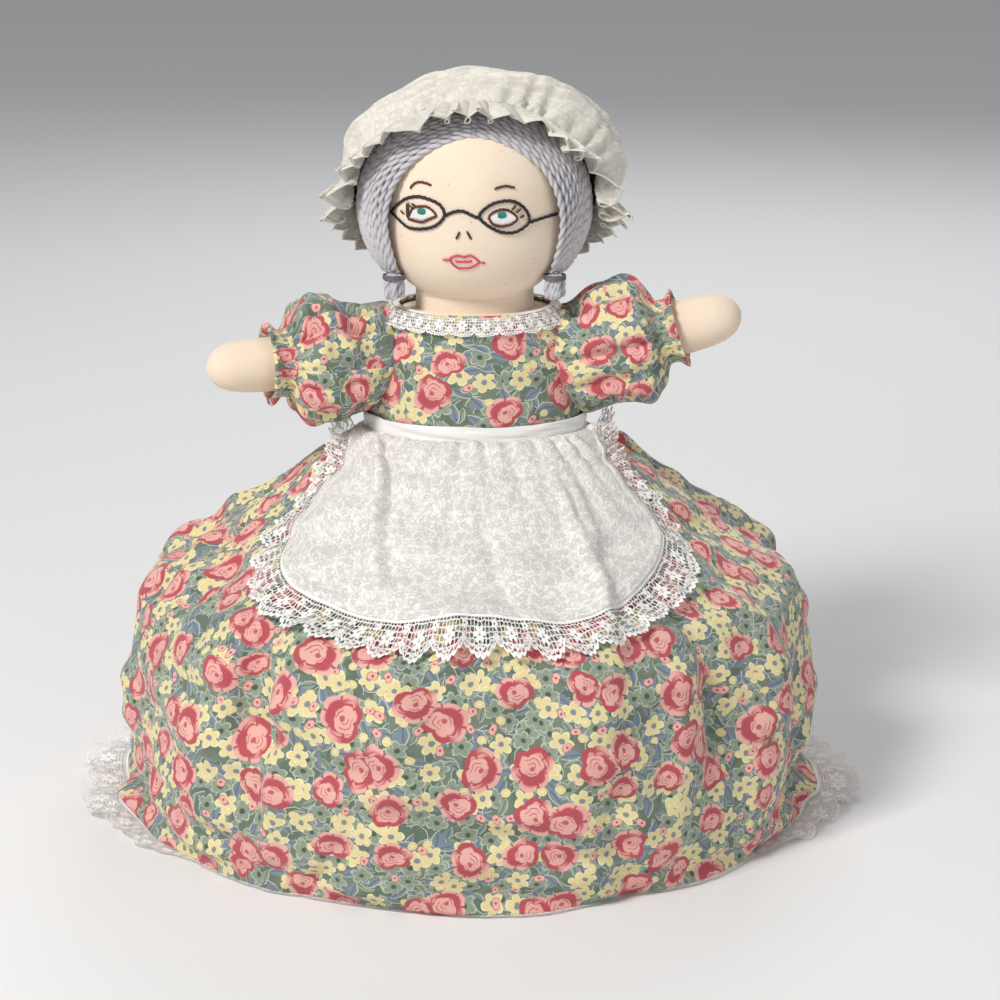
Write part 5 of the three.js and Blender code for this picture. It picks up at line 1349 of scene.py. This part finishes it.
def makeSleeve(name, half, finish, node, side, raised, forward, small, bodies):
    # A curve from the armhole through rings about the arm, pushed out by gathers, folds and the cuff's frill
    origin, along, across, up = armAxes(side, raised, forward)
    a = np.arange(sleeve["cols"]) / sleeve["cols"] * tau
    height = sleeve["armholeAt"] + sleeve["armholeHigh"] * np.sin(a)
    deep = sleeve["armholeDeep"] * np.cos(a)
    wide, thick = torsoHalf(height)
    reach = (wide + bodice["proud"]) * np.sqrt(1 - np.clip(deep / (thick + bodice["proud"]), -1, 1) ** 2)
    acrossY = math.copysign(1.0, across[1])
    hole = np.stack([side * (reach - 0.9), deep * acrossY, height], -1)
    fromMiddle = hole - [hole[:, 0].mean(), 0, sleeve["armholeAt"]]
    lifted = hole + np.array([side * 1.6, 0, 0]) + fromMiddle * np.array([0, 0.07, 0.07])
    puffed = hole + np.array([side * 5.5, 0, 0]) + fromMiddle * np.array([0, 0.2, 0.12])
    if small:
        puffed = hole + np.array([side * 4.0, 0, 0])
    place, radius = sleeve["rings"][:, 0], sleeve["rings"][:, 2 if small else 1]
    fuller = 1 + (0.0 if small else 0.09) * np.maximum(0,
                                                       np.sin(a))[None] * np.exp(-((place[:, None] - 25)
                                                           / 13) ** 2)
    rings = origin + place[:, None, None] * along + (radius[:, None] * fuller)[..., None] * (
        np.cos(a)[None, :, None] * across + np.sin(a)[None, :, None] * up)
    rings = np.concatenate([[hole], [lifted], [puffed], rings])
    share = np.linspace(0, 1, sleeve["rows"])
    points = throughRings(rings, share)
    centre = points.mean(1, keepdims=True)
    outward = unit(points - centre)
    s = (share * (len(rings) - 1))[:, None]
    angle = a[None]
    seed = 70 + side + (5 if small else 0)
    bend = angle + 0.07 * waves(angle, 0 * s, seed, 5, 2, 7)
    size = 0.75 + 0.4 * waves(angle, 0 * s, seed + 9, 5, 2, 7)
    fine = 2 * np.abs(np.cos(bend * 13)) ** 1.3 - 1
    broad = 2 * np.abs(np.cos(bend * 6.5 + 0.6)) ** 1.3 - 1
    atHole = np.exp(-((s - 1.2) / 1.0) ** 2) * smoothstep(s, 0, 0.8)
    atCuff = np.exp(-((s - 8.0) / 1.4) ** 2)
    push = size * (1.3 * fine * atHole + 2.4 * broad * np.exp(-((s - 3.2) / 1.5) ** 2) + 1.9 * fine * atCuff
                   + 2.4 * broad * np.exp(-((s - 6.2) / 1.4) ** 2)
                   + 0.35 * fine * np.exp(-((s - 10.5) / 1.2) ** 2))
    frill = np.exp(-((s - 14.2) / 1.4) ** 2)
    push = push + 1.1 * np.cos(bend * 19) * frill + 1.6 * waves(angle, s / 2, seed + 3, 9, 1,
        6) * smoothstep(s, 1, 3) * (1 - smoothstep(s, 7, 9))
    points = points + outward * (push * (0.75 if small else 1.0))[..., None]
    made = grid(name, half(points), finishes[finish], clothUv(points, 0.2), ring=True, flip=side < 0)
    thicken(made, 0.7, -1)
    start = half(origin + along * 2.0) * mm
    end = half(origin + along * 24.0) * mm
    return finishPiece(made, blend=("body", bodies, tuple(start), tuple(end)), stands=[node])


def makeElastic(name, half, node, side, raised, forward, bodyName):
    # The cuff's elastic: a flat ring with fine ribs along it
    origin, along, across, up = armAxes(side, raised, forward)
    a = np.arange(120) / 120 * tau
    rib = 0.06 * np.cos(a * 40)
    profile = np.array([[42.3, 12.9], [42.3, 13.25], [43.0, 13.42], [44.2, 13.42], [45.0, 13.25],
                        [45.0, 12.9], [42.3, 12.9]])
    points = origin + profile[:, 0][:, None, None] * along + (profile[:, 1][:, None]
        + rib[None])[..., None] * (
        np.cos(a)[None, :, None] * across * 0.97 + np.sin(a)[None, :, None] * up)
    made = grid(name, half(points), finishes["satin"], clothUv(points, 0.08), ring=True)
    return finishPiece(made, bodyName, stands=[node])


for name, half in halves:
    finish, slot = ("calico", "floral_print") if name == "upper" else ("ditsy", "plain_cotton")
    for seen, side, raised, forward in armPlaces(name):
        bodyName = f"{name}_arm_{seen}"
        makeSleeve(f"{name}_puff_sleeve_{seen}", half, finish, f"{name}_sleeve_{seen}", side, raised,
                   forward,
                   name == "lower", bodyName)
        makeElastic(f"{name}_elastic_{seen}", half, f"{name}_cuff_elastic_{seen}", side, raised, forward,
                    bodyName)
print("stage: bodices and sleeves")


neckLace = {"count": 420, "rows": 12, "deep": 0.0112, "long": 0.252}


def makeNeckLace(name, half, node, seed):
    # Lace round the neckline: its header on the bodice's edge, its scallops down over the shoulders
    angle = around(neckLace["count"], -math.pi / 2)
    share = np.linspace(0, 1, neckLace["rows"])[:, None]
    drawnIn = smoothstep(share, 0.36, 0.0)
    height = 61.9 + 0.5 * drawnIn - 8.0 * smoothstep(share, 0.2, 1.0) - 1.6 * np.maximum(0,
        -np.sin(angle)) ** 2 * (1 - share * 0.3)
    ripple = 0.55 * np.cos(angle * 26 + 1.4 * np.sin(angle * 4)) * share + 0.35 * waves(angle, share * 2,
        seed, 6, 3, 11) * share
    wide, deep = torsoHalf(np.minimum(height, 59.5))
    proud = bodice["proud"] + 1.5 + ripple + 0.8 * share - 4.6 * drawnIn
    points = np.stack([(wide + proud) * np.cos(angle), (deep + proud) * np.sin(angle), height], -1)
    made = grid(name, half(points), finishes["neckLace"], stripUv(share, neckLace), ring=True, flip=True)
    return finishPiece(made, "body", stands=[node])


makeNeckLace("upper_neckline_lace", upperHalf, "upper_neck_lace", 81)
makeNeckLace("lower_neckline_lace", lowerHalf, "lower_neck_lace", 91)

# Mob cap, in a frame whose third axis is the one that it is drawn off along
cap = {"tilt": 55.0, "wide": 58.0, "crownHalf": 50.8, "napeHalf": 44.0, "puff": 12.0, "lean": 5.0,
       "depth": 57.0,
       "cols": 300, "rows": 92, "topCalm": 0.85, "casing": 7.0, "frontLift": 8.0, "ruffle": 11.0,
       "folds": 32}
frill = {"count": 1100, "rows": 26, "deep": 0.0185, "long": 0.72}


def capSpace(points):
    # From the cap's frame, tilted about X, to the half doll's frame
    c, s = math.cos(math.radians(cap["tilt"])), math.sin(math.radians(cap["tilt"]))
    x, y, z = points[..., 0], points[..., 1], points[..., 2]
    return np.stack([x, y * c + z * s + hair["back"], -y * s + z * c + hair["centre"]], -1)


def brim(angle, out, along):
    # The cap's oval, wider by out, at a place along the cap's axis
    rise = np.where(np.sin(angle) < 0, cap["crownHalf"], cap["napeHalf"]) + out
    return np.stack([(cap["wide"] + out) * np.cos(angle), rise * np.sin(angle), along + 0 * angle], -1)


def frontLift(angle):
    # The casing and the frill sit this much further back over the forehead
    return cap["frontLift"] * np.maximum(0, -np.sin(angle)) ** 2


def makeCrown():
    # The brim's oval, puffed by a sine of the share and closed by the root of one less a power of it
    angle = around(cap["cols"])
    share = np.concatenate([np.linspace(0, 0.12, 22)[:-1],
                            np.linspace(0.12, 1.0, cap["rows"] - 21)])[:, None]
    full = np.sin(math.pi * np.minimum(share * 1.15, 1)) ** 0.8
    close = np.maximum(1 - share ** 2.6, 1e-7) ** (1 / 2.2)
    bend = angle + 0.035 * waves(angle, 0 * share, 14, 6, 3, 11)
    size = 0.75 + 0.4 * waves(angle, 0 * share, 15, 6, 2, 9)
    fine = 2 * np.abs(np.cos(bend * 31)) ** 1.3 - 1
    half = 2 * np.abs(np.cos(bend * 15.5 + 0.8)) ** 1.3 - 1
    push = size * (0.9 * fine * np.exp(-share / 0.035)
                   + 2.3 * half * np.minimum(1, share / 0.05) * np.exp(-share / 0.2))
    push = push + 2.0 * waves(angle, share * 4, 16, 9, 1, 6) * full + 1.3 * waves(angle, share * 9, 17, 9,
        3, 11) * full
    flatter = 1 - cap["topCalm"] * np.maximum(0, -np.sin(angle)) ** 2
    points = brim(angle, cap["puff"] * full * flatter - 0.6 + push, 0 * share)
    casing = cap["casing"] + frontLift(angle)
    along = casing + (cap["depth"] - casing) * share ** 0.9
    points = np.stack([points[..., 0] * close + cap["lean"] * full, points[..., 1] * close,
                       0 * angle + along], -1)
    away = (rowLengths(points).mean(1)[-1] - rowLengths(points).mean(1))[:, None] * mm
    turn = np.linspace(0, tau, cap["cols"] + 1)[None]
    uv = np.stack([away * np.cos(turn), away * np.sin(turn)], -1)
    made = grid("mob_cap_puff", upperHalf(capSpace(points)), finishes["capCotton"], uv, ring=True)
    thicken(made, 0.7, -1)
    return finishPiece(made, "mob_cap", stands=["mob_cap_crown"])


def makeRuffle():
    # The frill falls from the casing over the brim in deep folds that double back on themselves, short
    # under the nape
    angle = around(frill["count"])
    share = np.linspace(0, 1, frill["rows"])[:, None]
    low = np.maximum(0, np.sin(angle)) ** 0.7
    full = share * (1 - 0.6 * low)
    bend = angle + 0.06 * waves(angle, 0 * share, 24, 6, 2, 8)
    turn = bend * cap["folds"] + 0.5 * waves(angle, share, 23, 6, 3, 13) * share
    size = 0.85 + 0.35 * waves(angle, 0 * share, 25, 6, 2, 9)
    grown = full ** 0.75 * size
    fold = (5.8 * np.sin(turn) + 1.0 * np.sin(2 * turn + 1)) * grown
    crinkle = 0.5 * waves(angle, share * 6, 27, 8, 30, 70) * full
    gather = 0.55 * np.cos(turn * 2) * np.exp(-share / 0.12)
    curl = 2.2 * np.sin(2 * turn) * grown
    drop = (cap["casing"] + cap["ruffle"]) * full * (1 + 0.1 * waves(angle, 0 * share, 26, 6, 3, 16))
    points = brim(angle, fold + crinkle + gather + cap["ruffle"] * 0.8 * full - 0.4,
                  cap["casing"] + frontLift(angle) - drop - fold * 0.3)
    points = points + np.stack([-np.sin(angle) * curl, np.cos(angle) * curl, 0 * curl], -1)
    made = grid("mob_cap_frill", upperHalf(capSpace(points)), finishes["capCotton"], stripUv(share, frill),
                ring=True, flip=True)
    thicken(made, 0.6, 0)
    return finishPiece(made, "mob_cap", stands=["mob_cap_ruffle"])


makeCrown()
makeRuffle()
print("stage: mob cap")

# Apron: a panel gathered at the band, with rounded lower corners, and lace down its sides and round its end
apron = {"topSpread": 79.0, "lowSpread": 57.0, "flare": 1.25, "top": 0.016, "drop": 0.45, "cornerRise": 0.3,
         "proud": 2.6,
         "laceWidth": 13.4, "laceFrom": 0.06, "laceSides": 0.3, "slope": 175.0,
         "cols": 230, "rows": 120, "laceCols": 760, "laceRows": 16, "sewnOver": 1.4}


def apronPlace(u, v):
    # Angle and fall at shares across and down the panel
    across = 2 * u - 1
    spread = apron["topSpread"] + (apron["lowSpread"] - apron["topSpread"]) * np.sin(
        np.minimum(v * apron["flare"], 1) * math.pi / 2)
    fall = (apron["top"] + (apron["drop"] * (1 - apron["cornerRise"] * np.abs(across) ** 4) - apron["top"])
            * v)
    return -math.pi / 2 + np.radians(spread) * across, fall


def apronFolds(angle, fall):
    # Gathers from the band that fade by the panel's middle, soft upright folds and one long slanting crease
    bend = angle + 0.03 * waves(angle, 0 * fall, 34, 5, 3, 9)
    fine = np.abs(np.cos(bend * 36)) ** 1.3 * np.exp(-fall / 0.05)
    broad = np.abs(np.cos(bend * 16 + 0.4)) ** 1.4 * np.minimum(1, fall / 0.05) * np.exp(-fall / 0.17)
    size = 0.75 + 0.4 * waves(angle, 0 * fall, 35, 5, 2, 8)
    slant = turnApart(angle, math.radians(-134) + 1.35 * (fall - 0.05))
    crease = -1.2 * np.exp(-(slant / 0.03) ** 2) + 4.0 * np.exp(-((slant + 0.07) / 0.045) ** 2)
    upright = 1.3 * np.cos(9 * angle + 1.2) * smoothstep(fall, 0.08,
                                                         0.3) + 0.9 * np.exp(-(turnApart(angle,
                                                             math.radians(-62)) / 0.05) ** 2)
    return size * (1.7 * fine + 4.2 * broad) + crease * smoothstep(fall, 0.04,
        0.1) * (1 - smoothstep(fall, 0.34, 0.44)) + upright * 0.9


def onApron(angle, fall, proud):
    # The skirt's surface with the apron's own folds, so far proud of it
    base = onSkirt(angle, fall, 0 * angle, full=False)
    normal = skirtNormal(angle, fall)
    return base + normal * (apronFolds(angle, fall) + apron["proud"] + proud)[..., None]


def makeApronPanel():
    # Shares across and down the panel, laid on the skirt, with a raised rim and its top under the band
    u = np.linspace(0, 1, apron["cols"])[None]
    v = np.linspace(0, 1, apron["rows"])[:, None]
    angle, fall = apronPlace(u, v)
    rim = smoothstep(np.minimum(1 - v, 1.6 * np.minimum(u, 1 - u)), 0.045, 0.03)
    points = onApron(angle, fall, 0.8 * rim - 1.4 * np.exp(-v / 0.03))
    topRow = angle[:1]
    pinched = 0.15 * apronFolds(topRow, 0.02 + 0 * topRow)
    under = [onBodice(topRow, high + 0 * topRow, proud + pinched) + np.array([0, 0, doll["waist"]])
             for high, proud in ((6.4, 3.0), (4.6, 3.3), (3.2, 3.9))]
    points = np.concatenate(under + [points])
    uv = np.stack(np.broadcast_arrays(u * 0.22, rowLengths(points).mean(1)[:, None] * mm), -1)
    made = grid("apron_cloth", onFloor(points), finishes["apronCotton"], uv, flip=True)
    thicken(made, 0.6, 1)
    return finishPiece(made, "body", stands=["apron_panel"])


def makeApronLace():
    # A gathered strip: places along the panel's edge, then square to it by the strip's own width
    share = np.linspace(0, 1, apron["laceCols"])
    sides = apron["laceSides"]
    low = (share > sides) & (share < 1 - sides)
    along = np.minimum(share, 1 - share) / sides
    u = np.where(low, (share - sides) / (1 - 2 * sides), (share >= 0.5) * 1.0)
    v = np.where(low, 1.0, apron["laceFrom"] + (1 - apron["laceFrom"]) * along)
    angle, fall = apronPlace(u, v)
    reach = np.linalg.norm(skirtBase(angle + 0.01, fall) - skirtBase(angle - 0.01, fall), axis=-1) / 0.02
    turn = np.clip((share - sides / 2) / (1 - sides), 0, 1)
    heading = math.pi * (1 - turn)
    out = np.linspace(-apron["sewnOver"], apron["laceWidth"], apron["laceRows"])[:, None]
    size = 1 + 0.06 * np.cos(share * 310)
    sideways = np.cos(heading) * out * size / reach
    downwards = np.sin(heading) * out * size / apron["slope"]
    angle, fall = angle[None] + sideways, fall[None] + downwards
    part = np.clip(out / apron["laceWidth"], 0, 1)
    ripple = (1.3 * np.cos(share * 330 + 2 * np.sin(share * 40))[None]
              + 0.5 * waves(share[None] * tau, part, 44, 6, 8, 30)) * part
    stand = 6.0 * part ** 1.5 * np.exp(-(along / 0.5) ** 2)[None]
    points = onApron(angle, np.maximum(fall, 0.02), 0.9 + np.where(out < 0, 0.2, 0) + ripple + stand)
    steps = np.linalg.norm(np.diff(points[8], axis=0), axis=-1)
    length = np.concatenate([[0], np.cumsum(steps)]) * mm
    uv = np.stack(np.broadcast_arrays(length[None], (out + apron["sewnOver"]) * mm * 0.91), -1)
    made = grid("apron_lace_edging", onFloor(points), finishes["apronLace"], uv, flip=True)
    return finishPiece(made, "body", stands=["apron_lace"])


makeApronPanel()
makeApronLace()

# Waistband and bow of satin ribbon
ribbon = {"low": 3.2, "wide": 7.2, "proud": 4.5, "thick": 0.9, "steps": 60, "cols": 15, "bowThick": 0.5}


def makeWaistband():
    # The torso's oval between two heights, pushed out and lightly creased
    angle = around(240, -math.pi / 2)
    share = np.linspace(0, 1, 14)[:, None]
    crease = 0.22 * np.cos(share * 9 + 2 * np.sin(angle * 3)) + 0.2 * waves(angle, share * 3, 49, 6, 3, 14)
    height = ribbon["low"] + ribbon["wide"] * share + 0.35 * np.sin(angle * 2 + 1) + 0.2 * waves(angle,
        0 * share, 50, 4, 2, 6)
    points = onBodice(angle, height, ribbon["proud"] + crease + 0.5 * np.sin(math.pi * share))
    made = grid("satin_waistband", upperHalf(points), finishes["satin"], clothUv(points, 0.28), ring=True)
    thicken(made, ribbon["thick"], -1)
    return finishPiece(made, "body", stands=["apron_waistband"])


def ribbonAlong(name, line, across, width, pinch):
    # A ribbon carried along a path: each row spans the width across it, cupped and drawn in where pinched
    steps = np.linspace(0, 1, ribbon["steps"])
    line = throughRings(np.array(line, float), steps)
    across = throughRings(np.array(across, float), steps)
    share = np.linspace(-1, 1, ribbon["cols"])
    narrow = np.interp(steps, *pinch)[:, None]
    ahead = unit(np.gradient(line, axis=0))
    normal = unit(np.cross(unit(across), ahead))
    cup = (0.9 * np.cos(share[None] * 4.5) * (1 - narrow)
           + 0.25 * np.cos(share[None] * 3 + np.linspace(0, 5, ribbon["steps"])[:, None]))
    points = (line[:, None] + unit(across)[:, None] * (share[None] * narrow * width / 2)[..., None]
              + normal[:, None] * cup[..., None])
    uv = np.stack(np.broadcast_arrays(np.linspace(0, 0.05, ribbon["steps"])[:, None],
                                      share[None] * width / 2 * mm), -1)
    made = grid(name, upperHalf(points), finishes["satin"], uv)
    thicken(made, ribbon["bowThick"], 0)
    finishPiece(made, "body", stands=["apron_" + name])


def makeBow():
    # Two loops, two tails that come to lie on the skirt, and a dented ball for the knot
    back, height = 36.6, 7.4
    for side, label in ((-1, "left"), (1, "right")):
        loop = [(side * 1.5, back + 1.0, height), (side * 9, back + 2.6, height + 3.4),
                (side * 19, back + 1.6, height + 6.0),
                (side * 25.6, back - 0.6, height + 4.6), (side * 26.4, back + 0.8, height - 0.6),
                (side * 19, back + 3.6, height - 2.2),
                (side * 9, back + 3.4, height - 0.8), (side * 1.5, back + 2.0, height)]
        across = [(0, 0.3, 1)] * 3 + [(side * 0.25, 0.5, 1)] * 2 + [(0, 0.4, 1)] * 3
        ribbonAlong(f"bow_loop_{label}", loop, across, 7.4,
                    ([0, 0.12, 0.4, 0.6, 0.88, 1], [0.35, 0.7, 1, 1, 0.7, 0.35]))
        v = np.linspace(0, 1, 7)
        angle = math.pi / 2 - side * (0.09 + 0.1 * v)
        lying = onSkirt(angle, 0.03 + 42 * v / doll["waist"], 2.6 + 0 * v) - np.array([0, 0, doll["waist"]])
        hanging = np.array([side * 2.6, back + 1.6, height - 3.0])
        settle = smoothstep(v, 0, 0.3)[:, None]
        tail = hanging + (lying - hanging) * settle
        across = np.stack([np.ones(7), 0 * v - side * 0.12, 0.08 * np.sin(v * 6)], -1)
        ribbonAlong(f"bow_tail_{label}", tail, across, ribbon["wide"], ([0, 0.15, 1], [0.4, 0.9, 1]))
    turn = np.arange(24) / 24 * tau
    rows = np.linspace(-0.5 * math.pi + 0.02, 0.5 * math.pi - 0.02, 22)[:, None]
    dent = 1 + 0.07 * np.cos(turn * 5 + 1)[None]
    knot = np.stack([2.7 * np.cos(rows) ** 0.8 * np.cos(turn)[None] * dent,
                     back + 2.2 + 2.3 * np.cos(rows) ** 0.8 * np.sin(turn)[None] * dent,
                     height + 3.3 * np.sin(rows) + 0 * turn[None]], -1)
    made = grid("bow_knot", upperHalf(knot), finishes["satin"], clothUv(knot, 0.02), ring=True)
    return finishPiece(made, "body", stands=["apron_bow_knot"])


makeWaistband()
makeBow()
print("stage: apron and ribbon")

# The yarn below each tie, and the tie's turns of thread
bunch = {"out": 37.0, "front": -17.0, "tie": 78.4, "length": 12.4, "radius": 5.6, "ends": 26, "steps": 16,
         "strand": 1.25}
tie = {"radius": 4.9, "low": 76.6, "rise": 1.9, "turns": 5.2, "steps": 150, "thread": 0.42}


def makeBunches():
    # Plied yarn ends that swell and narrow below each tie, and the tie as a climbing coil
    rng = np.random.default_rng(99)
    for side, label in ((-1, "left"), (1, "right")):
        centre = np.array([side * bunch["out"], bunch["front"], 0.0])
        spots = rng.uniform(0, 1, (bunch["ends"], 2))
        radius, turn = np.sqrt(spots[:, 0]), spots[:, 1] * tau
        v = np.linspace(0, 1, bunch["steps"])
        swell = np.interp(v, [0, 0.1, 0.35, 0.75, 1], [0.62, 0.6, 0.95, 1.0, 0.8])
        spread = radius[:, None] * swell[None] * (bunch["radius"] - 1.2)
        long = rng.uniform(0.86, 1.0, (bunch["ends"], 1))
        paths = centre + np.stack([spread * np.cos(turn)[:, None], spread * np.sin(turn)[:, None],
                                   bunch["tie"] + 0.8 - v[None] * bunch["length"] * long], -1)
        normals = np.stack(np.broadcast_arrays(np.cos(turn)[:, None], np.sin(turn)[:, None], 0.01),
                           -1) + 0 * paths
        made = strands(f"yarn_bunch_{label}", upperHalf(paths), normals,
                       np.full(paths.shape[:2], bunch["strand"]),
                       finishes["greyYarn"], 8, 2, 5.2, 0.2, closedEnds(bunch["steps"]))
        finishPiece(made, "upper_head", stands=[f"upper_hair_bunch_{label}"])
        t = np.linspace(0, tie["turns"] * tau, tie["steps"])
        climb = tie["low"] + tie["rise"] * np.linspace(0, 1, tie["steps"]) + 0.25 * np.sin(t * 0.7)
        wrap = centre + np.stack([tie["radius"] * np.cos(t), tie["radius"] * np.sin(t), climb], -1)
        out = np.stack([np.cos(t), np.sin(t), 0 * t], -1)
        made = strands(f"yarn_tie_{label}", upperHalf(wrap)[None], out[None],
                       np.full((1, tie["steps"]), tie["thread"]), finishes["tieThread"], 6, 2, 2.0, 0.12)
        finishPiece(made, "upper_head", stands=[f"upper_hair_tie_{label}"])


makeBunches()

# Floor
ground = bpy.data.meshes.new("floor")
ground.from_pydata([(-4, -4, 0), (4, -4, 0), (4, 4, 0), (-4, 4, 0)], [], [(0, 1, 2, 3)])
floorMaterial, floorTree, floorShader = newMaterial("paleFloor")
floorTree.links.new(mixColour(floorTree, noise(floorTree, objectPlace(floorTree), 3.0, 2.0),
                              (0.84, 0.84, 0.84, 1), (0.87, 0.87, 0.87, 1)),
                    floorShader.inputs["Base Color"])
floorShader.inputs["Roughness"].default_value = 0.9
ground.materials.append(floorMaterial)
floor = bpy.data.objects.new("floor", ground)
bpy.context.scene.collection.objects.link(floor)
